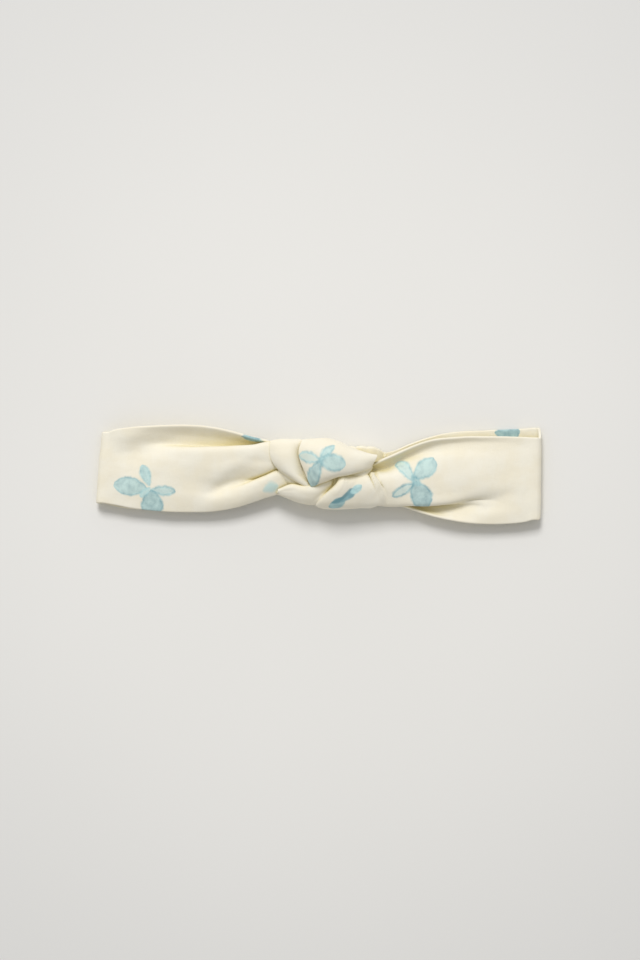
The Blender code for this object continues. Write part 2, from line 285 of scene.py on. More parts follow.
def crumpled(stations, places, width, outward, wave, seed, strokes, lowest):
    """A fine grid through stations, rippled and creased. wave is the height and length of the ripples.

    Returns the grid, its normals, u, v and the index of the row nearest each station.
    """
    grid, u, nearest = lay_out(stations, places)
    v = (places - 0.5) * width
    grid = grid + normals_of(grid, outward) * ripple(u[:, None], v[None, :], *wave, seed)[..., None]
    grid = press(grid, normals_of(grid, outward), strokes, lowest)
    return grid, normals_of(grid, outward), u, v, nearest


def on_grid(u, v):
    """u and v for every point of a grid."""
    return np.stack(np.broadcast_arrays(u[:, None], v[None, :]), axis=-1)


# ---- the band

COLUMN_POINTS = 11  # points across the strip in each station
SHARES = [index / (COLUMN_POINTS - 1) for index in range(COLUMN_POINTS)]
PLACES, EDGE_SHARE = edge_shares(HALF_THICKNESS, STRIP_WIDTH, COLUMNS)
TURN_RADIUS = FOLD_Z - BACK_Z
TURN_DEGREES = (-90, -60, -30, 0, 30, 60, 90)
SEWN_LENGTH = 1.8
MIDDLE_INSET = HALF_THICKNESS + PUFF  # from the fold's outermost line to the middle of the cloth there
CREASED_ABOVE = 5.4  # the band's creases are pressed into what lies higher than this
BAND_WAVE = (0.10, 16.0)  # height and length of the band's ripples
WRAP_WAVE = (0.09, 9.0)
SEAM_DIP, SEAM_REACH = 0.3, 0.5  # depth and half width of the groove along the lengthwise seam
SEAM_STITCH, SEAM_PITCH = 2, 4  # length and pitch of its stitches, in rows
JOIN_PLACES = np.arange(0.04, 0.94, 0.072)  # where the join's stitches start across the strip
JOIN_STITCH = 0.05
JOIN_ROW = 3  # how many rows from the seam they lie
ONE_SPOT, ONE_LAYER = 1.0, 1.2  # points this close, seen from above and in height, lie together

# Where the back layer's edges run: (distance from the middle, lower edge, upper edge).
BACK_LEFT = (
    (31.3, -10.9, 12.6), (37, -12.6, 13.8), (48, -14.6, 17), (60, -15.8, 19), (80, -16.2, 20.8),
    (97, -14.4, 21),
)
BACK_RIGHT = (
    (31.3, -11.4, 10.6), (36, -12.6, 12), (42, -13.9, 14.6), (51, -15, 17.8), (60, -15.8, 20),
    (80, -16.8, 21.4), (97, -17.4, 22.2),
)
LEFT_LIFTS = (0, 0.4, 0.8, 0, 0, 0)
RIGHT_LIFTS = (0, 1.2, 2.2, 1.6, 0, 0, 0)
# At the fold: lower and upper edge of the back layer, of the front layer, and how far out each edge reaches.
TURN_LEFT = ((-13.2, 20.7), (-12.9, 20.4), (105.4, 102.4))
TURN_RIGHT = ((-17.6, 22.6), (-20.9, 17.9), (104.6, 105.0))

# The front layer, from the fold to the inside of the knot. Each station is a place along X and, from the
# lower to the upper edge, the y and then the z of its points. On the left: the lower strip (0 to 3), the
# crease above it (4), the main face (5 to 7), and a pocket (8, 9) with its lip (10).
FRONT_LEFT = (
    (-97, (-13.7, -10, -6.5, -3, 0.5, 4, 7.5, 10.8, 14.2, 17.8, 21.3),
          (6, 6.2, 6.4, 6.5, 6.6, 6.6, 6.5, 6.4, 6.6, 7, 7.2)),
    (-88, (-15.4, -11.4, -7.6, -3.8, 0, 4, 7.6, 11, 14.6, 18.8, 22.8),
          (5.9, 6.4, 6.9, 7.2, 7.3, 7, 6.2, 5.8, 6.6, 8.2, 8.8)),
    (-75, (-16.8, -12.8, -9, -5, -1, 3.5, 8.2, 12.2, 15, 19.2, 23.5),
          (5.8, 6.6, 7.3, 7.6, 7.8, 8.1, 7.8, 6.2, 4.4, 6.2, 9.2)),
    (-62, (-17.3, -13.4, -9.8, -6.4, -2.8, 1.8, 7.2, 12.2, 13.8, 18.6, 23.8),
          (5.8, 6.9, 7.5, 7.6, 7.9, 8.5, 9, 8.4, 4.2, 4.9, 9.2)),
    (-50, (-16.9, -13.6, -10.6, -7.9, -4.8, -0.4, 5.8, 12.5, 13.2, 17.6, 22.8),
          (5.9, 7.3, 7.8, 7.2, 7.2, 8.5, 9.8, 9.4, 3.8, 4.8, 9.2)),
    (-39, (-15, -12.4, -9.6, -6.6, -4.4, 0.2, 6.6, 12.9, 13.2, 16.4, 20.3),
          (6.2, 7.9, 8.7, 8.3, 7, 8.1, 10.2, 10.2, 4.2, 5.2, 9.4)),
    (-30.5, (-12.4, -10, -7.2, -3.5, -2, 0.6, 7.2, 13.4, 13.8, 15.6, 17.6),
            (6.6, 8.3, 9.4, 9.3, 6.4, 8.2, 10.8, 10.6, 5.4, 6.2, 10)),
    (-24.5, (-10.2, -7.9, -5, -1, 0.6, 2.2, 8.2, 14.5, 15.2, 15.6, 16.2),
            (6.9, 8.6, 9.8, 9.9, 6.2, 8.9, 10.9, 10.6, 7.2, 7.4, 9.8)),
    (-19.4, (-8.9, -6.6, -3.6, 1.2, 2.9, 4.2, 9, 13.9, 14.3, 13.9, 13.5),
            (6.9, 8.4, 9.8, 10, 6.2, 8.9, 10.5, 10, 8.2, 8, 8.8)),
    (-14, (-7.6, -5, -2.2, 1.2, 3.2, 5, 8.6, 12.6, 12.4, 11.8, 11.2),
          (7.2, 8.4, 9.2, 9.2, 7.6, 8.6, 9.6, 9, 8, 7.7, 8)),
    (-6, (-5.2, -3.4, -1, 1.4, 3, 4.8, 7.4, 10.2, 10.4, 9.8, 9.2),
         (7.6, 8.4, 8.8, 8.8, 8.4, 9, 9.4, 8.8, 8.2, 7.8, 7.8)),
)
# On the right: the lower lip (0, 1), a pocket (2), a fold lying over it (3), the main face (4 to 7), a dip
# (8) and the upper lip (9, 10).
FRONT_RIGHT = (
    (97, (-21.9, -18, -14, -10, -6, -2, 2, 6, 10, 14, 18.1),
         (6, 6.3, 6.5, 6.6, 6.7, 6.7, 6.7, 6.6, 6.5, 6.3, 6.6)),
    (88, (-22.8, -18.4, -13.9, -9.6, -5.4, -1.2, 3, 7.4, 12, 15.6, 18.4),
         (5.9, 6.3, 6.2, 6.9, 7.2, 7.4, 7.4, 7.2, 6.7, 6.5, 7.3)),
    (78, (-22.9, -18.4, -13.8, -9.6, -5.5, -1, 3.4, 8, 12.6, 15.8, 18.4),
         (6.1, 6.2, 5.3, 7.2, 8.1, 8.4, 8.3, 7.9, 6.8, 6.6, 8)),
    (66, (-21.9, -18, -13.4, -11.8, -7.4, -2, 3, 8, 12.6, 15.6, 18.1),
         (7, 5, 3.8, 8, 8.9, 9.4, 9.3, 8.6, 6.8, 6.7, 8.8)),
    (52.5, (-18.7, -16.4, -11.2, -13.4, -8.5, -3, 2.5, 7.4, 11.2, 14.2, 16.5),
           (7.4, 4.2, 3.2, 9.4, 10.2, 10.7, 10.4, 9.1, 6.7, 7, 10)),
    (40.7, (-15, -12.8, -9, -13.6, -8.8, -3.8, 1, 4.8, 7.8, 10.3, 12.3),
           (7, 4.4, 3.7, 9.6, 11.4, 12.1, 11.4, 9.4, 6.5, 7.2, 11.2)),
    (31.5, (-12.2, -11, -9, -13.8, -9.6, -4.8, -1, 1.4, 3.7, 6.1, 8.1),
           (6.2, 5.2, 5.2, 9, 12, 13.2, 12.6, 10.4, 6.9, 7.8, 11.8)),
    (25.5, (-10, -12, -14.2, -13.4, -9.4, -4.9, -1.6, 0.5, 2.2, 4, 5.4),
           (5.6, 6.1, 8, 10.8, 13.2, 14.4, 13.8, 11.8, 8.4, 8.4, 10.8)),
    (20, (-9.4, -12.3, -14.5, -13.7, -10.2, -5.7, -2.2, 0.2, 2, 3.4, 4.6),
         (5.6, 6.1, 8, 10.8, 13.2, 14.6, 14.2, 12.8, 10.8, 10, 10.4)),
    (14.4, (-9, -12.5, -14.9, -14.2, -11, -6.7, -2.8, 0, 2, 3.2, 4),
           (5.6, 6, 8.2, 10.9, 13.4, 15, 15, 13.6, 12.2, 11.4, 11)),
)
# The right band's last stations: the lower pass of the knot, whose end is a slanting rolled rim.
RIM = (
    ((10.6, -9, 5.6), (8.4, -12.6, 6.2), (4.6, -15, 8.2), (5.4, -13.4, 11.6), (8, -10.6, 14.4),
     (10.6, -7, 16.2), (12, -3.5, 16.2), (12, -1, 14.8), (12, 1, 13), (12, 1.8, 12), (12, 2.4, 11.4)),
    ((4.6, -8.8, 5.8), (2.8, -12, 6.4), (0.3, -14.3, 8.4), (2, -12.4, 11.8), (5.3, -9.4, 14.6),
     (8.7, -6.2, 16.6), (10.4, -3.2, 16.6), (10.6, -0.9, 15.2), (10.8, 1, 13.2), (11, 1.8, 12),
     (11.2, 2.4, 11.2)),
    ((3, -8.6, 6.2), (1, -11.6, 6.8), (-1.2, -13.5, 8.8), (0.7, -11.7, 11.6), (4, -8.8, 14.1),
     (7.4, -5.8, 15.9), (9.2, -3.1, 16), (9.6, -1, 14.8), (10.2, 1, 12.8), (10.4, 1.8, 11.6),
     (10.8, 2.4, 10.8)),
    ((3.2, -8.4, 6.8), (1.4, -11, 7.4), (-0.4, -12.4, 9), (1.4, -10.9, 10.9), (4.6, -8.2, 12.8),
     (7.8, -5.4, 14.2), (9.5, -2.9, 14.3), (10, -1, 13.4), (10.4, 1, 11.8), (10.6, 1.8, 10.8),
     (11, 2.2, 10.2)),
    ((5.4, -8, 7.6), (3.6, -9.8, 8.2), (2, -10.8, 9.2), (3.8, -9.6, 10), (6.8, -7.2, 11.2), (9.6, -4.6, 12),
     (11, -2.4, 12), (11.2, -0.6, 11.4), (11.4, 1, 10.6), (11.6, 1.6, 10.2), (11.8, 2, 9.8)),
)
# Creases and ridges of each side, as press() takes them.
LEFT_STROKES = (
    ((-18, 3.6, 1.1, 0.6), (-25.5, -0.1, 1.1, 0.6), (-29.6, -1.6, 0.8, 0.7), (-33.6, -2.5, 0.3, 1),
     (-37, -3.2, 0, 1.6)),
    ((-22, 6.4, 0.2, 1.6), (-28, 6.9, 0.5, 2.2), (-36, 7.4, 0.3, 2.6), (-40, 7.6, 0, 2.6)),
    ((-30, 0.8, 0.1, 2), (-36, -1.6, 0.8, 2.4), (-42, -3.8, 1.4, 2.8), (-47, -6.2, 1.5, 2.8),
     (-52, -9.4, 0.4, 2.8)),
    ((-29, 9.6, 0, 2.6), (-36, 6.8, -0.6, 2.8), (-44, 2.6, -0.7, 3), (-52, -2.4, 0, 3)),
    ((-97, 6, 0, 4), (-88, 3, 0.18, 5), (-76, 1, 0, 4)),
)
RIGHT_STROKES = (
    ((22.4, 2.2, 1.4, 0.8), (24.3, -1.2, 1.5, 0.8), (26, -4.2, 1.2, 0.8), (27.7, -7.4, 0.7, 0.9),
     (29, -10.6, 0, 0.9)),
    ((24.6, 0.4, -0.5, 0.8), (26.9, -4.4, -1, 0.9), (28.9, -8.8, -0.8, 1), (30.4, -12.4, 0, 1)),
    ((26.2, 0.8, 1.2, 1), (29.8, -5, 0.8, 1.1), (31.9, -9.6, 0.4, 1.1), (32.2, -13.6, 0.1, 1)),
    ((24.4, 3.2, 1.2, 1.3), (30, 2.6, 1, 1.7), (37, 3.4, 0.5, 2.2), (44, 5, 0, 2.4)),
    ((18.8, -1.2, 0, 1.2), (16.5, -4.6, 0.5, 1.4), (13.5, -8.6, 0.5, 1.4), (10.8, -12, 0.2, 1.2)),
    ((95, -7.6, 0, 3), (88, -9.2, 0.8, 3.2), (79, -11.6, 1.3, 3.4), (70, -13.4, 1.3, 3),
     (64, -14.4, 0.5, 2)),
)


def across(low, high):
    return [mix(low, high, share) for share in SHARES]


def back_rows(side, table, lifts):
    """The back layer. Its upper edge may lift off the table a little, by so much at each place."""
    rows = []
    for (x, low, high), lift in zip(table, lifts):
        heights = [BACK_Z + 4 * lift * max(0.0, share - 0.6) ** 1.5 for share in SHARES]
        rows.append([(side * x, y, z) for y, z in zip(across(low, high), heights)])
    return rows


def turn_rows(side, edges):
    """The U-turn at an end of the flattened ring."""
    (back_low, back_high), (front_low, front_high), reaches = edges
    rows = []
    for angle in map(math.radians, TURN_DEGREES):
        share = min(max(0.5 + math.sin(angle), 0.0), 1.0)
        inset = MIDDLE_INSET + TURN_RADIUS * (1 - math.cos(angle))
        z = FOLD_Z + TURN_RADIUS * math.sin(angle)
        heights = across(mix(back_low, front_low, share), mix(back_high, front_high, share))
        rows.append([(side * (reach - inset), y, z) for reach, y in zip(across(*reaches), heights)])
    return rows


def front_rows(table):
    return [[(x, y, z) for y, z in zip(ys, zs)] for x, ys, zs in table]


class Strip:
    """One side of the strip as a fine grid, with its thickness."""

    def __init__(self, stations, outward, strokes, seed):
        self.middle, self.normals, self.u, self.v, self.nearest = crumpled(
            stations, PLACES, STRIP_WIDTH, outward, BAND_WAVE, seed, strokes, CREASED_ABOVE)
        belly = PUFF * np.sin(math.pi * PLACES) ** 0.7
        sewn = 0.3 + 0.7 * np.clip(self.u / SEWN_LENGTH, 0, 1)  # sewn flat where it meets the casing
        self.up = sewn[:, None] * (HALF_THICKNESS + belly) * EDGE_SHARE
        self.down = self.up - SEAM_DIP * np.exp(-(self.v / SEAM_REACH) ** 2) * EDGE_SHARE

    def piece(self, name, a, b):
        """The length of strip from row a to row b as a closed object."""
        rows = slice(a, b + 1)
        return cloth_tube(name, self.middle[rows], self.normals[rows], self.u[rows], PLACES,
                          self.up[rows], self.down[rows], STRIP_WIDTH)

    def face(self, row, column, side):
        """A point of the outer (1) or inner (-1) face, and the direction out of it."""
        away = self.up if side > 0 else self.down
        out = self.normals[row, column] * side
        return self.middle[row, column] + out * away[row, column], out

    def seam_stitches(self, name, a, b):
        """Stitches of the lengthwise tube seam, sunk in their groove on the inner face."""
        column = len(PLACES) // 2
        parts = []
        for row in range(a + 2, b - SEAM_STITCH - 1, SEAM_PITCH):
            (start, out), (end, _) = self.face(row, column, -1), self.face(row + SEAM_STITCH, column, -1)
            parts.append(stitch(start, end, out, 0.10))
        return merged(name, parts)

    def join_stitches(self, name):
        """A row of stitches across the strip, on both faces."""
        parts = []
        for side in (1, -1):
            for place in JOIN_PLACES:
                a, b = (int(np.abs(PLACES - share).argmin()) for share in (place, place + JOIN_STITCH))
                (start, out), (end, _) = self.face(JOIN_ROW, a, side), self.face(JOIN_ROW, b, side)
                parts.append(stitch(start, end, out, 0.02))
        return merged(name, parts)

    def facing_up(self):
        """Points of the cloth that face up, each with its place on the strip."""
        outer = self.middle + self.normals * self.up[..., None]
        inner = self.middle - self.normals * self.down[..., None]
        around = np.where(self.v > 0, STRIP_WIDTH, -STRIP_WIDTH) - self.v
        is_up = self.normals[..., 2:] > 0
        places = np.where(is_up, on_grid(self.u, self.v), on_grid(self.u, around))
        return np.where(is_up, outer, inner).reshape(-1, 3), places.reshape(-1, 2)


def place_on(strip, x, y, low, high):
    """Where on the strip the point seen at (x, y) lies, if it is between two heights."""
    points, places = strip.facing_up()
    off = np.linalg.norm(points[:, :2] - (x, y), axis=1)
    off[(points[:, 2] < low) | (points[:, 2] > high)] = FAR
    return places[off.argmin()]


def seen_near(points, centre, reach):
    """Indices of the points within reach of centre, as seen from above, that nothing lies over."""
    near = np.flatnonzero(np.linalg.norm(points[:, :2] - centre, axis=1) < reach)
    apart = np.linalg.norm(points[near][:, None, :2] - points[near][None, :, :2], axis=2)
    roof = np.where(apart < ONE_SPOT, points[near][None, :, 2], -FAR).max(axis=1)
    return near[points[near, 2] > roof - ONE_LAYER]


# ---- the knot

# Each wrap is a grid of points: rows follow the way the cloth is wound, from the back over the upper edge to
# the front, and each row goes from left to right.
LEFT_WRAP = (
    ((-19, 7.5, 5.8), (-17, 7.5, 5.7), (-14.5, 7.5, 5.7), (-12, 7.5, 5.7), (-9, 7.5, 5.7), (-6, 7.5, 5.8)),
    ((-21, 13, 6.6), (-18.5, 13.2, 6.4), (-15.5, 13.4, 6.3), (-12.5, 13.6, 6.3), (-9.5, 13.6, 6.3),
     (-6, 13.6, 6.4)),
    ((-22.4, 16, 9.2), (-19.3, 16.4, 9.4), (-16.2, 16.5, 9.6), (-13, 16.5, 9.5), (-10, 16.4, 9.2),
     (-6.5, 16, 8.8)),
    ((-23, 14.9, 11.2), (-19.6, 15.3, 12.6), (-16.2, 15.4, 13.4), (-13, 15.3, 13.4), (-9.6, 14.9, 12.2),
     (-6.4, 14.4, 11)),
    ((-23, 10.6, 11.7), (-20, 11, 13.8), (-16.5, 11.2, 15.3), (-13.2, 11.2, 15.3), (-10.4, 11, 13.6),
     (-7.4, 10.6, 11.6)),
    ((-21.4, 5.8, 11.7), (-19, 5.6, 13.8), (-15.8, 5.4, 15.5), (-12.6, 5.2, 15.6), (-9.6, 5, 13.8),
     (-6.8, 4.8, 11.6)),
    ((-18.4, 2.6, 11.5), (-16.6, 2.2, 13.6), (-14, 1.6, 15.1), (-11.4, 1, 15.2), (-8.6, 0.6, 13.6),
     (-6, 0.4, 11.6)),
    ((-13.4, -1, 11.8), (-12.2, -1.2, 13.4), (-10.8, -1.4, 14.5), (-8.8, -1.6, 14.3), (-6.8, -1.8, 13),
     (-4.8, -1.8, 11.6)),
    ((-8.6, -3.8, 12.2), (-7.8, -3.9, 13), (-7, -4, 13.5), (-5.8, -4.1, 13.3), (-4.6, -4.2, 12.5),
     (-3.4, -4, 11.6)),
    ((-5.4, -6, 11.8), (-4.8, -6, 12.3), (-4.2, -6, 12.5), (-3.6, -5.9, 12.3), (-3, -5.7, 11.9),
     (-2.4, -5.4, 11.4)),
)
CENTRE_WRAP = (
    ((-5, 8, 5.6), (-1, 8, 5.4), (4, 8, 5.3), (10, 7.6, 5.3), (16, 7, 5.4), (21, 6.4, 5.6), (25, 6, 6)),
    ((-6.6, 14, 6.6), (-2, 14.4, 6.2), (3.5, 14, 6.1), (9.6, 12.6, 6.1), (15.8, 10.8, 6.3),
     (21.2, 9.4, 6.8), (25.8, 8.4, 7.6)),
    ((-7.4, 16.4, 10.4), (-3, 16.8, 11), (3, 16.7, 11.4), (9.2, 15.2, 11.2), (15.6, 12.2, 10.8),
     (21.6, 10.2, 10.4), (27, 9, 10.2)),
    ((-8.4, 15.2, 13.8), (-3.4, 15.7, 16), (3, 15.6, 16.6), (9.2, 14.2, 16.4), (15.6, 11.5, 15.6),
     (21.8, 9.8, 14.3), (27.4, 9.1, 12.4)),
    ((-9.4, 11.2, 15), (-4.6, 12, 18.7), (2.4, 11.7, 19.9), (9, 10.6, 19.6), (15.5, 9, 18.4),
     (21.6, 7.9, 16.5), (26.4, 7.2, 13.4)),
    ((-8.6, 6.5, 15.2), (-4, 6.4, 19), (2.4, 6, 20.5), (8.9, 5.5, 20.2), (15.3, 5.1, 19), (20.9, 5, 16.9),
     (25, 5, 13.6)),
    ((-6.5, 1.7, 15.2), (-2.9, 1, 18.3), (2.4, 0.9, 19.6), (8.5, 1.5, 19.3), (15, 2.2, 17.9),
     (20.3, 3, 16.1), (23.9, 3.5, 13.4)),
    ((-4.9, -2.4, 14.9), (-2, -2.5, 16.9), (2, -1.3, 18.2), (7.2, 0.1, 18.1), (14.4, 1.5, 16.9),
     (19.6, 2.5, 15.3), (22.9, 3.2, 13.4)),
    ((-3.7, -5, 14.2), (-1.3, -4, 15.3), (2.2, -2.5, 16.3), (7.3, -0.5, 16.4), (14.4, 1.1, 15.4),
     (19.5, 2.1, 14.3), (22.8, 2.8, 12.9)),
    ((-3.2, -4.4, 12.9), (-0.8, -3, 13.8), (2.8, -1.2, 14.7), (7.8, 0.8, 14.9), (14.6, 2.3, 14.2),
     (19.6, 3.1, 13.4), (22.6, 3.5, 12.3)),
)
# The inner roll: the strip's own underside seen where the lower pass curls open. Rows go from its left tip
# to the right, and each row from the lower edge, up over the front, to where it goes under the wraps.
INNER_ROLL = (
    ((-19.6, -7.2, 7.6), (-19.8, -7.6, 8.2), (-19.8, -7.9, 9), (-19.5, -7.9, 9.8), (-19.2, -7.6, 10.4),
     (-19, -7.2, 10.5), (-18.8, -6.9, 10), (-18.6, -7, 9.4)),
    ((-14.5, -7.3, 5.9), (-14.6, -9, 6.7), (-14.6, -10.1, 8.4), (-14.3, -9.3, 10.8), (-13.9, -7.4, 12.2),
     (-13.5, -5.5, 12.7), (-13.1, -4.5, 12.1), (-12.7, -4.9, 11)),
    ((-8.6, -8, 5.7), (-8.7, -10.8, 6.6), (-8.6, -12.2, 8.8), (-8.3, -11, 11.5), (-7.9, -8.7, 13.3),
     (-7.5, -6.6, 13.9), (-7.2, -5.3, 13.1), (-7, -5.6, 11.6)),
    ((-3, -8, 5.7), (-3, -11.4, 6.6), (-2.8, -13.2, 8.8), (-2.4, -11.5, 11.5), (-1.9, -9, 13.2),
     (-1.5, -6.6, 13.9), (-1.2, -4.6, 13.6), (-1, -3, 12.6)),
    ((1.8, -8, 5.8), (1.6, -11, 6.8), (1.6, -12.6, 9), (1.9, -10.9, 11.2), (2.3, -8, 12.8),
     (2.8, -5.2, 13.8), (3.2, -2.9, 14.2), (3.4, -1, 13.6)),
    ((5.2, -7.6, 6), (4.6, -10, 7), (4.2, -11.6, 8.6), (4.6, -9.8, 10.6), (5.4, -7, 12), (6.4, -4.4, 13.2),
     (7.2, -2.2, 13.8), (7.4, -0.6, 13.4)),
    ((8.4, -7, 6), (7.8, -9.4, 7), (7.6, -10.4, 8.4), (8, -8.9, 9.2), (8.6, -6.2, 9.8), (9.2, -3.8, 10.2),
     (9.6, -1.8, 10.4), (9.8, -0.2, 10.4)),
    ((12.4, -6.6, 6.2), (12.2, -8.8, 7), (12.2, -9.6, 8), (12.4, -8.4, 8.6), (12.6, -6, 9),
     (12.6, -3.4, 9.2), (12.8, -1.2, 9.4), (13, 0.2, 9.4)),
)
ROLL_STROKES = (
    ((-18.6, -7.6, 0.3, 0.5), (-14.5, -6.9, 0.35, 0.7), (-10.5, -6.6, 0.1, 0.8)),
    ((-18.4, -8.2, 0.25, 0.5), (-14.6, -8.2, 0.2, 0.7), (-11, -8.6, 0, 0.8)),
    ((4.6, -5.4, 0.5, 1), (1.6, -8.2, 0.6, 1.1), (-1.6, -11, 0.3, 1.2)),
    ((6.9, -0.8, 2, 0.7), (7.4, -2.6, 3, 0.7), (7, -4.6, 2.6, 0.7), (5.3, -6.9, 1.2, 0.8),
     (3.2, -8.6, 0.3, 0.9)),
)
# Behind: the strip crosses over the casing.
BACK_PASS = (
    ((-20, -6.4, 8.4), (-20.4, -2.8, 7.2), (-20.8, 1, 6.6), (-20.6, 5, 6.4), (-20.2, 8.6, 6.8)),
    ((-14, -7.8, 6.4), (-14, -4, 5.8), (-14, 0.6, 5.7), (-14, 5.6, 5.8), (-14, 10.4, 6.4)),
    ((-3, -10.6, 6.2), (-3, -5, 5.7), (-3, 0.4, 5.6), (-3, 6, 5.7), (-3, 12, 6.2)),
    ((9, -11.4, 6.2), (9, -5.6, 5.7), (9, 0, 5.6), (9, 5.6, 5.7), (9, 10.6, 6.2)),
    ((19, -11.2, 6.4), (19, -5.6, 5.8), (19, -0.6, 5.7), (19, 4.2, 5.8), (19, 8.2, 6.2)),
    ((26, -10.2, 8), (26.4, -5.4, 6.8), (26.6, -1, 6.4), (26.4, 2.6, 6.6), (26, 5.6, 7.4)),
)
# The tight middle of the knot: (x, middle y, middle z, half breadth, half height).
CORE = (
    (-19, 4, 9.6, 4, 1.6), (-13, 4, 9.9, 9, 2.6), (-5, 2.5, 10.2, 11, 3.2), (4, 1, 10.4, 11, 3.4),
    (13, 0.4, 10.6, 9.3, 3.4), (20, 2.2, 11, 6.8, 3.4), (23.4, 4.6, 10.8, 4.2, 2.6),
    (25.2, 5.6, 10.5, 2.2, 1.4),
)
WRAP_HALF, WRAP_PUFF = 0.6, 0.25  # half thickness at the edges, and how much is added in the middle
FEWEST_COLUMNS = 16
LUMP_RINGS, LUMP_SIDES = 60, 48


class Wrap:
    """A pass of the strip in the knot: a cloth tube through its own stations."""

    def __init__(self, name, stations, width, seed, strokes=()):
        self.width = width
        places, edge = edge_shares(WRAP_HALF, width, max(int(width / ROW_STEP), FEWEST_COLUMNS))
        self.middle, self.normals, self.u, self.v, _ = crumpled(
            stations, places, width, 1, WRAP_WAVE, seed, strokes, FRONT_Z)
        thickness = (WRAP_HALF + WRAP_PUFF * np.sin(math.pi * places)) * edge
        self.up = np.broadcast_to(thickness, self.middle.shape[:2])
        self.object = cloth_tube(name, self.middle, self.normals, self.u, places, self.up, self.up, width)

    def facing_up(self):
        """Points of the outer face that face up, each with its place on the wrap."""
        outer = self.middle + self.normals * self.up[..., None]
        is_up = self.normals[..., 2] > 0
        return outer[is_up], on_grid(self.u, self.v)[is_up]


def lump(name, rings, seed):
    """A closed, slightly wrinkled form through oval rings across X."""
    rings = np.asarray(rings, float)
    where = np.linspace(0, len(rings) - 1, LUMP_RINGS)
    fine = spline(np.arange(len(rings)), rings, where)
    turns = np.linspace(0, 2 * math.pi, LUMP_SIDES, endpoint=False)
    wave = 1 + ripple(where[:, None] * 6, turns[None, :] * 6, 0.05, 9.0, seed)
    y = fine[:, 1:2] + fine[:, 3:4] * np.cos(turns) * wave
    z = fine[:, 2:3] + fine[:, 4:5] * np.sin(turns) * wave
    points = np.stack(np.broadcast_arrays(fine[:, 0:1], y, z), axis=-1).reshape(-1, 3)
    return mesh_object(name, points, tube_faces(LUMP_RINGS, LUMP_SIDES))


# ---- casing, elastic and seams

# The casing bows a little under the knot: (x, lower edge, upper edge, middle height, half height).
CASING = (
    (-31, -10.6, 12.2, 1.2, 0.3), (-27.5, -10, 13, 2.1, 1.6), (-18.5, -7.6, 15, 2.5, 2),
    (-8, -10.4, 14, 2.5, 2.05), (4, -12.2, 13.2, 2.5, 2.05), (15, -12.4, 13.6, 2.5, 2.05),
    (24, -12.2, 13.6, 2.4, 1.9), (28.2, -11.8, 12.7, 1.9, 1.5), (31, -11.2, 10.4, 1.2, 0.3),
)
CASING_WIDTH = 25.0
CASING_STEP = 0.45
CASING_COLUMNS = 46
THINNEST = 0.15  # of a face of the casing, from its middle
PLEAT_PITCH = 4.4
TAPE_WIDTH = 21.0
TAPE_LENGTH = 58.0
TAPE_STEP = 0.5
TAPE_COLUMNS = 61
RIB_PITCH = 1.5  # of the elastic's ribs, across it
KNIT_PITCH = 0.7  # of its stitches, along it


def pleats(x, seed):
    """Gathers along the casing: rounded ridges with narrow valleys, unevenly spaced. From -1 to 1."""
    random = np.random.default_rng(seed)
    drift = sum(random.uniform(0.4, 1.0) * np.sin(x / length + random.uniform(0, 6))
                for length in (5.3, 8.9, 13.7))
    return 2 * np.abs(np.sin(math.pi * x / PLEAT_PITCH + 0.5 * drift)) ** 0.6 - 1


def level(x, y, height):
    """A grid with a row at each x, its points at y and at that row's height, and normals that point down."""
    middle = np.stack(np.broadcast_arrays(x[:, None], y, height[:, None]), axis=-1)
    return middle, np.broadcast_to((0.0, 0.0, -1.0), middle.shape)


def along_casing(reach, step):
    """Places out to reach, and the casing's lower and upper edge, middle height and half height there."""
    table = np.asarray(CASING)
    x = np.arange(-reach, reach + 0.01, step)
    return x, *(spline(table[:, 0], table[:, column], x) for column in range(1, 5))


def casing():
    x, low, high, height, half = along_casing(HINGE_X, CASING_STEP)
    places, edge = edge_shares(1.0, CASING_WIDTH, CASING_COLUMNS)
    along, across_it = x[:, None], places[None, :] * CASING_WIDTH
    grain = 0.6 + ripple(along, across_it, 0.16, 7.0, seed=22)
    soft = np.clip((HINGE_X - np.abs(x)) / 5, 0.35, 1)[:, None]
    y = low[:, None] + (high - low)[:, None] * places[None, :]
    y += pleats(x, 5)[:, None] * 0.32 * soft * (2 * places[None, :] - 1)
    thick = half[:, None] * 0.93
    faces = []
    for height_of_pleats, seed in ((0.30, 7), (0.36, 8)):
        lines = pleats(along + ripple(along, across_it, 0.5, 18.0, seed), seed)
        face = (thick + height_of_pleats * lines * soft * grain) * edge
        faces.append(np.maximum(face, THINNEST * edge))
    return cloth_tube("casing", *level(x, y, height), x, places, *faces, CASING_WIDTH)


def tape():
    x, low, high, height, _ = along_casing(TAPE_LENGTH / 2, TAPE_STEP)
    width = np.minimum(TAPE_WIDTH, high - low - 2.0)
    places, edge = edge_shares(0.55, TAPE_WIDTH, TAPE_COLUMNS)
    y = ((low + high) / 2)[:, None] + width[:, None] * (places[None, :] - 0.5)
    ribs = 0.10 * np.abs(np.sin(math.pi * places * TAPE_WIDTH / RIB_PITCH))
    thick = np.broadcast_to((0.46 + ribs) * edge, y.shape)
    return cloth_tube("elastic", *level(x, y, height), x, places, thick, thick, TAPE_WIDTH)


def seam_bead(name, side, low, high):
    """The turned-in ends where casing and band are sewn together: a soft ridge with small puckers."""
    y = np.arange(low, high + 0.01, 0.25)
    puckers = 0.10 * np.sin(y * 2 * math.pi / 2.9 + side) + 0.05 * np.sin(y * 2 * math.pi / 1.7)
    ends = np.sqrt(np.clip(np.minimum(y - low, high - y), 0.02, 1))
    path = np.stack([side * HINGE_X + 0.12 * np.sin(y * 0.9), y, np.full(len(y), BACK_Z)], axis=-1)
    return merged(name, [round_tube(path, (1.02 + puckers) * ends, 20)])


# ---- print

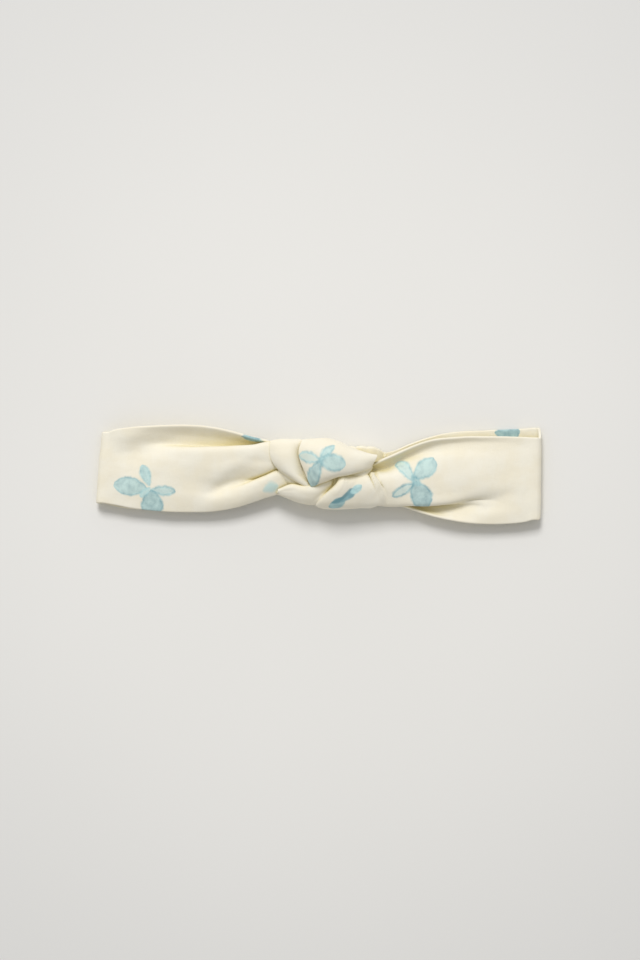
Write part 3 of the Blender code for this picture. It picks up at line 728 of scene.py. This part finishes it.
# The print is pale blue watercolour petals on cream. Each petal is (base, tip, width, tone, hollow), with
# base and tip as they are seen from above. Tone runs from 0, palest, to 1, darkest; below 0 the petal is
# also fainter and more blurred. Hollow petals are lighter inside.
LEFT_PETALS = (
    ((-80.6, -6.2), (-96.4, -4.0), 9.2, 0.34, 0.3),
    ((-79.4, -4.8), (-83.1, 5.0), 5.2, 0.16, 0.2),
    ((-79.6, -6.8), (-67.4, -7.4), 5.0, 0.30, 0.5),
    ((-78.8, -6.8), (-78.2, -19.4), 10.8, 0.50, 0.2),
    ((-79.4, -5.4), (-84.0, -10.2), 3.6, 0.10, 0.2),
    ((-26.4, -7.0), (-19.0, -4.4), 6.0, -0.22, 0.0),
    ((-15.0, -1.6), (-9.2, -3.8), 2.6, 0.45, 0.0),
)
RIGHT_PETALS = (
    ((44.8, -1.8), (36.2, 7.3), 5.8, 0.22, 0.5),
    ((44.4, -1.6), (54.6, 7.4), 9.0, 0.26, 0.3),
    ((45.0, -3.4), (34.3, -10.0), 5.0, 0.55, 0.8),
    ((44.4, -2.8), (50.6, -14.6), 10.4, 0.58, 0.3),
    ((43.4, 0.2), (47.4, -5.0), 3.6, 0.30, 0.2),
    ((4.6, -15.2), (12.4, -10.8), 4.8, 0.30, 0.0),
    ((8.2, -13.4), (17.8, -6.2), 3.8, 0.98, 0.0),
    ((14.6, -8.6), (19.8, -4.6), 3.4, 0.12, 0.0),
)
CENTRE_PETALS = (
    ((0.8, 6.9), (-9.6, 9.8), 5.8, 0.22, 0.9),
    ((-0.2, 6.6), (6.9, 14.4), 4.4, 0.18, 0.3),
    ((-0.2, 7.4), (12.8, 4.6), 8.6, 0.28, 0.3),
    ((0.2, 7.6), (-4.0, -5.8), 6.4, 0.42, 0.3),
)
# A petal along an upper edge: (x of its base and of its tip, v, width, tone, hollow).
LIP_PETAL = (-24.6, -36.2, 19.0, 3.6, 0.70, 0.1)  # at the left, on the front layer's lip
BACK_EDGE_PETAL = (82.8, 95.0, 21.5, 8.0, 0.66, 0.1)  # at the right, on the back layer
UPPER_EDGE_Y = 17.5  # where the cloth under such a petal is looked up
EDGE_PETAL_SLANT = 0.4
FRONT_HEIGHTS = (4.2, 30)  # between which the front layer lies
BACK_HEIGHTS = (-1, 3)
# Centres of whole butterflies on cloth that the photo doesn't show, as (u, v).
LEFT_BUTTERFLIES = ((14, 5), (50, -4), (34, 39), (72, -40), (118, 40), (152, 40))
RIGHT_BUTTERFLIES = ((12, -4), (48, 3), (26, 39), (64, -40), (100, 40), (134, 40))
INNER_BUTTERFLIES = ((9, 34), (52, -30))
CASING_BUTTERFLIES = ((-17, -2), (16, -17), (-8, 23))
# The petals of such a butterfly: (turn from the first one, length, width).
BUTTERFLY = ((0.0, 14.0, 8.5), (1.5, 11.5, 5.0), (2.7, 12.5, 5.5), (4.3, 14.0, 9.0))


def half_across(base, tip, width):
    """Half a petal's width, as a vector square to its length."""
    turned = np.array([-(tip - base)[1], (tip - base)[0]])
    return turned / np.linalg.norm(turned) * width / 2


def petal_map(base, tip, half, tone, hollow):
    """The numbers a petal node needs: a linear map from the strip to places along and across the petal."""
    back = np.linalg.inv(np.stack([tip - base, half], axis=1))
    rows = [(*row, -row @ base) for row in back]
    return rows[0], rows[1], float(np.linalg.norm(half)), tone, hollow


def seen_petal(points, places, base, tip, width, tone, hollow):
    """A petal given as seen from above, carried over to the strip by the cloth that lies there."""
    base, tip = np.asarray(base, float), np.asarray(tip, float)
    centre = base + (tip - base) * 0.5
    reach = max(np.linalg.norm(tip - base) * 0.4, 2.0)
    near = seen_near(points, centre, reach)
    known = np.c_[points[near, :2] - centre, np.ones(len(near))]
    fit = np.linalg.lstsq(known, places[near], rcond=None)[0]
    return petal_map((base - centre) @ fit[:2] + fit[2], (tip - centre) @ fit[:2] + fit[2],
                     half_across(base, tip, width) @ fit[:2], tone, hollow)


def strip_petal(base, tip, width, tone, hollow):
    base, tip = np.asarray(base, float), np.asarray(tip, float)
    return petal_map(base, tip, half_across(base, tip, width), tone, hollow)


def scattered(centres, seed):
    """Whole butterflies at these centres on the strip."""
    random = np.random.default_rng(seed)
    found = []
    for centre in centres:
        start = random.uniform(0, 2 * math.pi)
        for step, reach, width in BUTTERFLY:
            angle = start + step + random.uniform(-0.15, 0.15)
            out = np.array([math.cos(angle), math.sin(angle)])
            base = np.asarray(centre, float) + out * 0.6
            found.append(strip_petal(base, base + out * reach, width, random.uniform(0.2, 0.6),
                                     random.choice([0.2, 0.3, 0.8])))
    return found


def strip_print(strip, petals, edge_petal, heights, centres, seed):
    """All petals of one side of the strip."""
    points, places = strip.facing_up()
    found = [seen_petal(points, places, *petal) for petal in petals]
    *ends, v, width, tone, hollow = edge_petal
    base, tip = (place_on(strip, x, UPPER_EDGE_Y, *heights)[0] for x in ends)
    found.append(strip_petal((base, v), (tip, v + EDGE_PETAL_SLANT), width, tone, hollow))
    return found + scattered(centres, seed)


# ---- materials

PALE_BLUE = (0.50, 0.735, 0.740, 1)
DEEP_BLUE = (0.160, 0.350, 0.410, 1)
CREAM = (0.885, 0.848, 0.735, 1)
WARM_CREAM = (0.872, 0.818, 0.675, 1)
PAINTED_FOLD_SHADE = (0.720, 0.635, 0.320, 1)  # painted shade: stands in for shade and bounced light deep between folds
WEAVE_PITCH = 0.42
FLOOR_LIGHT = (0.812, 0.804, 0.785, 1)
FLOOR_DARK = (0.802, 0.794, 0.774, 1)
# painted light falloff: the backdrop's colour far from its middle
FLOOR_PAINTED_FALLOFF = (0.700, 0.697, 0.690, 1)
SLUB_SHADE = (0.72, 0.66, 0.52, 1)
WEAVE_SHADE = (0.50, 0.44, 0.32, 1)
THREAD_PALE = (0.86, 0.82, 0.70, 1)
THREAD_DARK = (0.66, 0.61, 0.48, 1)
THREAD_FUZZ = (0.90, 0.87, 0.78, 1)
ELASTIC_DARK = (0.70, 0.69, 0.66, 1)
ELASTIC_PALE = (0.88, 0.87, 0.84, 1)
ELASTIC_GREY = (0.62, 0.60, 0.55, 1)


class Nodes:
    """Adds nodes to a tree; an input may be a value or another node's output."""

    def __init__(self, tree):
        self.tree = tree

    def feed(self, node, inputs):
        """Sets each input of a node to a value, or links it to another node's output."""
        for key, value in inputs.items():
            if isinstance(value, bpy.types.NodeSocket):
                self.tree.links.new(value, node.inputs[key])
            else:
                node.inputs[key].default_value = value
        return node

    def add(self, kind, inputs=None, **settings):
        node = self.tree.nodes.new(kind)
        for name, value in settings.items():
            setattr(node, name, value)
        return self.feed(node, inputs or {})

    def maths(self, operation, *values, clamp=False):
        inputs = dict(enumerate(values))
        return self.add("ShaderNodeMath", inputs, operation=operation, use_clamp=clamp).outputs[0]

    def times(self, a, b, clamp=False):
        return self.maths("MULTIPLY", a, b, clamp=clamp)

    def plus(self, a, b):
        return self.maths("ADD", a, b)

    def minus(self, a, b, clamp=False):
        return self.maths("SUBTRACT", a, b, clamp=clamp)

    def waves(self, place, x, y):
        """Place in turns of pitch x and y, as separate numbers."""
        turned = self.vector("MULTIPLY", place, (2 * math.pi / x, 2 * math.pi / y, 1))
        return self.add("ShaderNodeSeparateXYZ", {0: turned}).outputs

    def vector(self, operation, *values, output="Vector"):
        inputs = dict(enumerate(values))
        return self.add("ShaderNodeVectorMath", inputs, operation=operation).outputs[output]

    def ramp(self, value, low, high, start=0.0, end=1.0):
        """From start to end, smoothly, as value goes from low to high."""
        inputs = {"Value": value, "From Min": low, "From Max": high, "To Min": start, "To Max": end}
        return self.add("ShaderNodeMapRange", inputs, interpolation_type="SMOOTHSTEP").outputs["Result"]

    def blend(self, share, a, b):
        return self.add("ShaderNodeMix", {0: share, 6: a, 7: b}, data_type="RGBA").outputs[2]

    def noise(self, place, scale, detail=2.0, roughness=0.5, output="Fac"):
        inputs = {"Vector": place, "Scale": scale, "Detail": detail, "Roughness": roughness}
        return self.add("ShaderNodeTexNoise", inputs).outputs[output]

    def bump(self, height, distance, strength, normal=None):
        inputs = {"Height": height, "Distance": distance * MM, "Strength": strength}
        if normal is not None:
            inputs["Normal"] = normal
        return self.add("ShaderNodeBump", inputs).outputs["Normal"]


def petal_group():
    """One watercolour petal: colour in, colour out."""
    tree = bpy.data.node_groups.new("petal", "ShaderNodeTree")
    for name, kind in (("Colour", "Color"), ("Place", "Vector"), ("Along", "Vector"), ("Across", "Vector"),
                       ("Half width", "Float"), ("Tone", "Float"), ("Hollow", "Float"), ("Wash", "Float")):
        tree.interface.new_socket(name=name, in_out="INPUT", socket_type="NodeSocket" + kind)
    tree.interface.new_socket(name="Colour", in_out="OUTPUT", socket_type="NodeSocketColor")
    nodes = Nodes(tree)
    given = nodes.add("NodeGroupInput").outputs

    # Where in the petal: along it from 0 to 1, across it from 0 to 1, and how deep inside its outline.
    along = nodes.vector("DOT_PRODUCT", given["Place"], given["Along"], output="Value")
    across = nodes.vector("DOT_PRODUCT", given["Place"], given["Across"], output="Value")
    across = nodes.maths("ABSOLUTE", across)
    held = nodes.maths("MINIMUM", nodes.maths("MAXIMUM", along, 0.0), 1.0)
    outline = nodes.maths("SINE", nodes.times(nodes.maths("POWER", held, 1.30), math.pi))
    outline = nodes.maths("POWER", nodes.maths("MAXIMUM", outline, 0.0), 0.52)
    past = nodes.times(nodes.maths("ABSOLUTE", nodes.minus(along, held)), 8.0)
    depth = nodes.times(nodes.minus(nodes.minus(outline, across), past), given["Half width"])

    # How much paint there is: a crisp edge, or a blurred one where the tone is below 0.
    faint = nodes.maths("MINIMUM", given["Tone"], 0.0)
    crisp = nodes.ramp(depth, -0.62, 0.76)
    blurred = nodes.minus(nodes.ramp(depth, -0.8, 2.2), crisp)
    mask = nodes.maths("MULTIPLY_ADD", blurred, nodes.times(faint, -4.0, clamp=True), crisp)

    # How dark it is: pooled in the wash, at the rim and along the vein, and lighter in a hollow.
    rim = nodes.ramp(depth, 0.25, 1.45, 1.0, 0.0)
    vein = nodes.ramp(across, 0.0, 0.30, 0.35, 0.0)
    tone = nodes.plus(given["Tone"], nodes.times(nodes.minus(given["Wash"], 0.5), 1.9))
    tone = nodes.plus(tone, nodes.times(rim, nodes.times(given["Wash"], 0.18)))
    tone = nodes.plus(tone, nodes.times(vein, 0.22))
    lighter = nodes.times(nodes.times(given["Hollow"], nodes.ramp(depth, 0.5, 1.5)), 0.45)
    tone = nodes.minus(tone, lighter, clamp=True)
    cover = nodes.plus(nodes.minus(0.93, nodes.times(lighter, 1.1)), faint)
    painted = nodes.blend(nodes.times(mask, cover, clamp=True), given["Colour"],
                          nodes.blend(tone, PALE_BLUE, DEEP_BLUE))
    nodes.add("NodeGroupOutput", {"Colour": painted})
    return tree


PETAL = petal_group()


def new_material(name):
    """A new material, its nodes and its principled shader."""
    made = bpy.data.materials.new(name)
    made.use_nodes = True
    return made, Nodes(made.node_tree), made.node_tree.nodes["Principled BSDF"]


def cotton(name, petals):
    """Cream printed cotton, laid out by the strip's own millimetres."""
    made, nodes, shader = new_material(name)
    place = nodes.add("ShaderNodeUVMap", uv_map="strip").outputs["UV"]

    # Ground: cream, mottled, with slubs along both thread directions.
    colour = nodes.blend(nodes.ramp(nodes.noise(place, 0.09, 3.0), 0.35, 0.65), CREAM, WARM_CREAM)
    slubs = nodes.plus(nodes.noise(nodes.vector("MULTIPLY", place, (0.25, 3.2, 1)), 1.0, 3.0),
                       nodes.noise(nodes.vector("MULTIPLY", place, (3.2, 0.25, 1)), 1.0, 3.0))
    colour = nodes.blend(nodes.ramp(slubs, 0.7, 1.3, 0.0, 0.10), colour, SLUB_SHADE)

    # Painted shade: deep between folds, where the ambient occlusion node finds them, the colour turns towards
    # a darker yellow that stands in for shade and for light bounced between the folds.
    fold_shade_ao = nodes.add("ShaderNodeAmbientOcclusion", {"Distance": 11 * MM}, samples=4).outputs["AO"]
    colour = nodes.blend(nodes.ramp(fold_shade_ao, 0.15, 0.88, 0.90, 0.0), colour, PAINTED_FOLD_SHADE)

    # Print, with edges that wander and paint that pools.
    wander = nodes.vector("SUBTRACT", nodes.noise(place, 0.55, output="Color"), (0.5, 0.5, 0.5))
    moved = nodes.vector("MULTIPLY_ADD", wander, (1.3, 1.3, 0), place)
    parts = nodes.add("ShaderNodeSeparateXYZ", {0: moved}).outputs
    spot = nodes.add("ShaderNodeCombineXYZ", {0: parts[0], 1: parts[1], 2: 1.0}).outputs["Vector"]
    wash = nodes.noise(place, 0.33, 4.0, 0.6)
    for along, across, half, tone, hollow in petals:
        inputs = {"Colour": colour, "Place": spot, "Wash": wash, "Along": along, "Across": across,
                  "Half width": half, "Tone": tone, "Hollow": hollow}
        colour = nodes.add("ShaderNodeGroup", inputs, node_tree=PETAL).outputs["Colour"]

    # Weave: threads over and under each other, and a little unevenness of the cloth.
    parts = nodes.waves(place, WEAVE_PITCH, WEAVE_PITCH)
    threads = nodes.times(nodes.maths("SINE", parts[0]), nodes.maths("SINE", parts[1]))
    colour = nodes.blend(nodes.ramp(threads, -1, 1, 0.05, 0.0), colour, WEAVE_SHADE)
    normal = nodes.bump(slubs, 0.10, 0.25, nodes.bump(threads, 0.035, 0.35))
    normal = nodes.bump(nodes.noise(place, 0.30, 3.0, 0.55), 0.45, 0.30, normal)
    rough = nodes.ramp(slubs, 0.6, 1.4, 0.80, 0.92)
    nodes.feed(shader, {"Base Color": colour, "Normal": normal, "Roughness": rough,
                        "Specular IOR Level": 0.25, "Sheen Weight": 0.12, "Sheen Roughness": 0.5})
    return made


def thread():
    """Sewing thread: two plies twisted together."""
    made, nodes, shader = new_material("sewing_thread")
    place = nodes.add("ShaderNodeTexCoord").outputs["Object"]
    wave = {"Vector": place, "Scale": 900.0, "Distortion": 1.0}
    ply = nodes.add("ShaderNodeTexWave", wave, bands_direction="DIAGONAL").outputs["Fac"]
    colour = nodes.blend(nodes.ramp(ply, 0, 1), THREAD_PALE, THREAD_DARK)
    colour = nodes.blend(nodes.ramp(nodes.noise(place, 700.0), 0.3, 0.7, 0.0, 0.25), colour, THREAD_FUZZ)
    nodes.feed(shader, {"Base Color": colour, "Normal": nodes.bump(ply, 0.05, 0.5), "Roughness": 0.6,
                        "Sheen Weight": 0.2})
    return made


def elastic_web():
    """White woven elastic, ribbed along its length."""
    made, nodes, shader = new_material("elastic_web")
    place = nodes.add("ShaderNodeUVMap", uv_map="strip").outputs["UV"]
    parts = nodes.waves(place, KNIT_PITCH, RIB_PITCH)
    knit = nodes.times(nodes.maths("SINE", parts[0]), nodes.maths("COSINE", parts[1]))
    colour = nodes.blend(nodes.ramp(knit, -1, 1), ELASTIC_DARK, ELASTIC_PALE)
    grey = nodes.ramp(nodes.noise(place, 0.5, 3.0), 0.3, 0.7, 0.0, 0.12)
    nodes.feed(shader, {"Base Color": nodes.blend(grey, colour, ELASTIC_GREY), "Roughness": 0.75,
                        "Normal": nodes.bump(knit, 0.12, 0.6), "Sheen Weight": 0.15})
    return made


def tabletop():
    """Pale, slightly warm, matt backdrop, with a painted light falloff: darker away from its middle."""
    made, nodes, shader = new_material("tabletop")
    place = nodes.add("ShaderNodeTexCoord").outputs["Object"]
    colour = nodes.blend(nodes.ramp(nodes.noise(place, 6.0), 0.3, 0.7), FLOOR_LIGHT, FLOOR_DARK)
    # Painted light falloff: the backdrop's colour darkens away from its middle.
    away = nodes.vector("LENGTH", place, output="Value")
    colour = nodes.blend(nodes.ramp(away, 80 * MM, 330 * MM), colour, FLOOR_PAINTED_FALLOFF)
    nodes.feed(shader, {"Base Color": colour, "Roughness": 0.9, "Specular IOR Level": 0.2})
    return made


# ---- the headband, piece by piece

def metres(*point):
    return tuple(value * MM for value in point)


def finish_cloth(piece, material):
    piece.data.materials.append(material)
    return piece


def bend(pieces, a, b, start, end):
    for piece in pieces:
        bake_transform(piece)


# Where each bend begins and ends.
AROUND_LEFT = ((-HINGE_X, 0, BACK_Z), (-HINGE_X - 8, 0, BACK_Z))
TURN = ((0, 0, 2.25), (0, 0, 4.75))
INTO_KNOT_LEFT = ((-38, 0, FRONT_Z), (-25, 0, FRONT_Z))
OUT_OF_KNOT_RIGHT = ((25, 0, FRONT_Z), (38, 0, FRONT_Z))

left_stations = back_rows(-1, BACK_LEFT, LEFT_LIFTS) + turn_rows(-1, TURN_LEFT) + front_rows(FRONT_LEFT)
right_stations = (back_rows(1, BACK_RIGHT, RIGHT_LIFTS) + turn_rows(1, TURN_RIGHT)
                  + front_rows(FRONT_RIGHT) + list(RIM))
left = Strip(left_stations, 1, LEFT_STROKES, seed=3)
right = Strip(right_stations, -1, RIGHT_STROKES, seed=5)

# Rows at which each side is cut into seam end, fold and front: where its back layer is 60 mm from the middle,
# and at the front layer's second station.
left_cuts = (0, left.nearest[3], left.nearest[len(BACK_LEFT) + len(TURN_DEGREES) + 1], len(left.u) - 1)
right_cuts = (0, right.nearest[4], right.nearest[len(BACK_RIGHT) + len(TURN_DEGREES) + 1], len(right.u) - 1)

left_cotton = cotton("cotton_left", strip_print(left, LEFT_PETALS, LIP_PETAL, FRONT_HEIGHTS,
                                                LEFT_BUTTERFLIES, seed=31))
right_cotton = cotton("cotton_right", strip_print(right, RIGHT_PETALS, BACK_EDGE_PETAL, BACK_HEIGHTS,
                                                  RIGHT_BUTTERFLIES, seed=32))

SIDES = {"left": (left, left_cuts, left_cotton), "right": (right, right_cuts, right_cotton)}
PARTS = ("seam_end", "fold", "front")

bands = {}
for side, (strip, cuts, cloth) in SIDES.items():
    for part, a, b in zip(PARTS, cuts, cuts[1:]):
        bands[f"{side}_{part}"] = finish_cloth(strip.piece(f"{side}_band_{part}", a, b), cloth)
left_seam_end, left_fold, left_front, right_seam_end, right_fold, right_front = bands.values()

# Knot.
left_wrap = Wrap("knot_wrap_left", LEFT_WRAP, width=15.0, seed=11)
centre_wrap = Wrap("knot_wrap_centre", CENTRE_WRAP, width=36.0, seed=12)
inner_roll = Wrap("knot_inner_roll", INNER_ROLL, width=22.0, seed=13, strokes=ROLL_STROKES)
back_pass = Wrap("knot_behind", BACK_PASS, width=22.0, seed=14)
core = lump("knot_middle", CORE, seed=15)
centre_cloth = centre_wrap.facing_up()
centre_cotton = cotton("cotton_centre", [seen_petal(*centre_cloth, *petal) for petal in CENTRE_PETALS])
plain_cotton = cotton("cotton_inner", scattered(INNER_BUTTERFLIES, seed=34))
finish_cloth(centre_wrap.object, centre_cotton)
for piece in (left_wrap.object, inner_roll.object, back_pass.object, core):
    finish_cloth(piece, plain_cotton)

# Casing, elastic, seams and thread.
sewing_thread = thread()
casing_piece = finish_cloth(casing(), cotton("cotton_casing", scattered(CASING_BUTTERFLIES, seed=35)))
tape_piece = finish_cloth(tape(), elastic_web())
seams = [finish_cloth(seam_bead("join_left", -1, low=-10.9, high=12.5), plain_cotton),
         finish_cloth(seam_bead("join_right", 1, low=-11.5, high=11.2), plain_cotton)]
under_knot = {"left": left.nearest[-3], "right": right.nearest[-8]}   # the rows where the seam threads end
threads = {}
for side, (strip, cuts, _) in SIDES.items():
    for part, layer, a, b in zip(PARTS, ("back", "fold", "front"), cuts, (*cuts[1:3], under_knot[side])):
        threads[f"{side}_{part}"] = strip.seam_stitches(f"seam_thread_{side}_{layer}", a, b)
for side, (strip, _, _) in SIDES.items():
    threads[side + "_join"] = strip.join_stitches("join_thread_" + side)
for piece in threads.values():
    finish_cloth(piece, sewing_thread)
for node in ("elastic_tack_left", "elastic_tack_right"):
    bpy.data.objects[node].data.materials.clear()
    bpy.data.objects[node].data.materials.append(sewing_thread)

# What moves with what. The pieces given to bend() are only baked in place and follow no body; the others move
# with the body they are attached to.
bend((left_seam_end, threads["left_seam_end"], threads["left_join"]), "casing", "back_left", *AROUND_LEFT)
bend((left_fold, threads["left_fold"]), "back_left", "front_left", *TURN)
bend((left_front, threads["left_front"]), "front_left", "knot", *INTO_KNOT_LEFT)
bend((right_front, threads["right_front"]), "knot", "front_right", *OUT_OF_KNOT_RIGHT)
bend((right_fold, threads["right_fold"]), "front_right", "back_right", *TURN[::-1])
for piece in (right_seam_end, threads["right_seam_end"], threads["right_join"]):
    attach(piece, "back_right")
for piece in (left_wrap.object, centre_wrap.object, inner_roll.object, back_pass.object, core):
    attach(piece, "knot")
for piece in (casing_piece, tape_piece, *seams):
    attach(piece, "casing")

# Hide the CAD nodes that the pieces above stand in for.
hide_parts("back_band_left")
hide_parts("front_band_left", "knot_left_tail")
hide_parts("back_band_right")
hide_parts("front_band_right", "knot_right_tail", "knot_lower_pass")
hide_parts("knot_left_wrap")
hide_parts("knot_centre_wrap")
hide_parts("knot_core")
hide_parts("knot_back_pass")
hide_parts("elastic_casing")
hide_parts("elastic_tape")
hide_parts("join_seam_left")
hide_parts("join_seam_right")
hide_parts("join_stitches_left")
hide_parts("join_stitches_right")
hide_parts("tube_seam_back_left")
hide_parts("tube_seam_front_left")
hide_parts("tube_seam_front_right")
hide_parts("tube_seam_back_right")


# ---- floor, light and camera

FLOOR_SIZE = 24000.0
VIEW_CENTRE = (0.5, -2.1)
VIEW_HEIGHT = 1200.0
SEEN_LENGTH = 454.0  # of the tabletop, along the long side of the picture
WINDOW_PLACE = (-520, 2680, 2960)
WINDOW_SIZE = 1400.0
WINDOW_WATTS = 106.0
WINDOW_COLOUR = (1.0, 0.99, 0.985)
ROOM_COLOUR = (1.0, 0.995, 0.965, 1)
ROOM_STRENGTH = 0.52

bpy.ops.mesh.primitive_plane_add(size=FLOOR_SIZE * MM, location=(0, 0, 0))
floor = bpy.context.object
floor.name = "floor"
floor.data.materials.append(tabletop())


def placed(name, data, *place):
    made = bpy.data.objects.new(name, data)
    bpy.context.scene.collection.objects.link(made)
    made.location = metres(*place)
    return made


camera_data = bpy.data.cameras.new("camera")
camera_data.lens = camera_data.sensor_width * VIEW_HEIGHT / SEEN_LENGTH
bpy.context.scene.camera = placed("camera", camera_data, *VIEW_CENTRE, VIEW_HEIGHT)

light_data = bpy.data.lights.new("window", "AREA")
light_data.energy = WINDOW_WATTS
light_data.size = WINDOW_SIZE * MM
light_data.color = WINDOW_COLOUR
light = placed("window", light_data, *WINDOW_PLACE)
light.rotation_euler = (-light.location).to_track_quat("-Z", "Y").to_euler()

world = bpy.data.worlds.new("room")
bpy.context.scene.world = world
world.use_nodes = True
background = world.node_tree.nodes["Background"]
background.inputs["Color"].default_value = ROOM_COLOUR
background.inputs["Strength"].default_value = ROOM_STRENGTH
bpy.context.scene.view_settings.view_transform = "Standard"
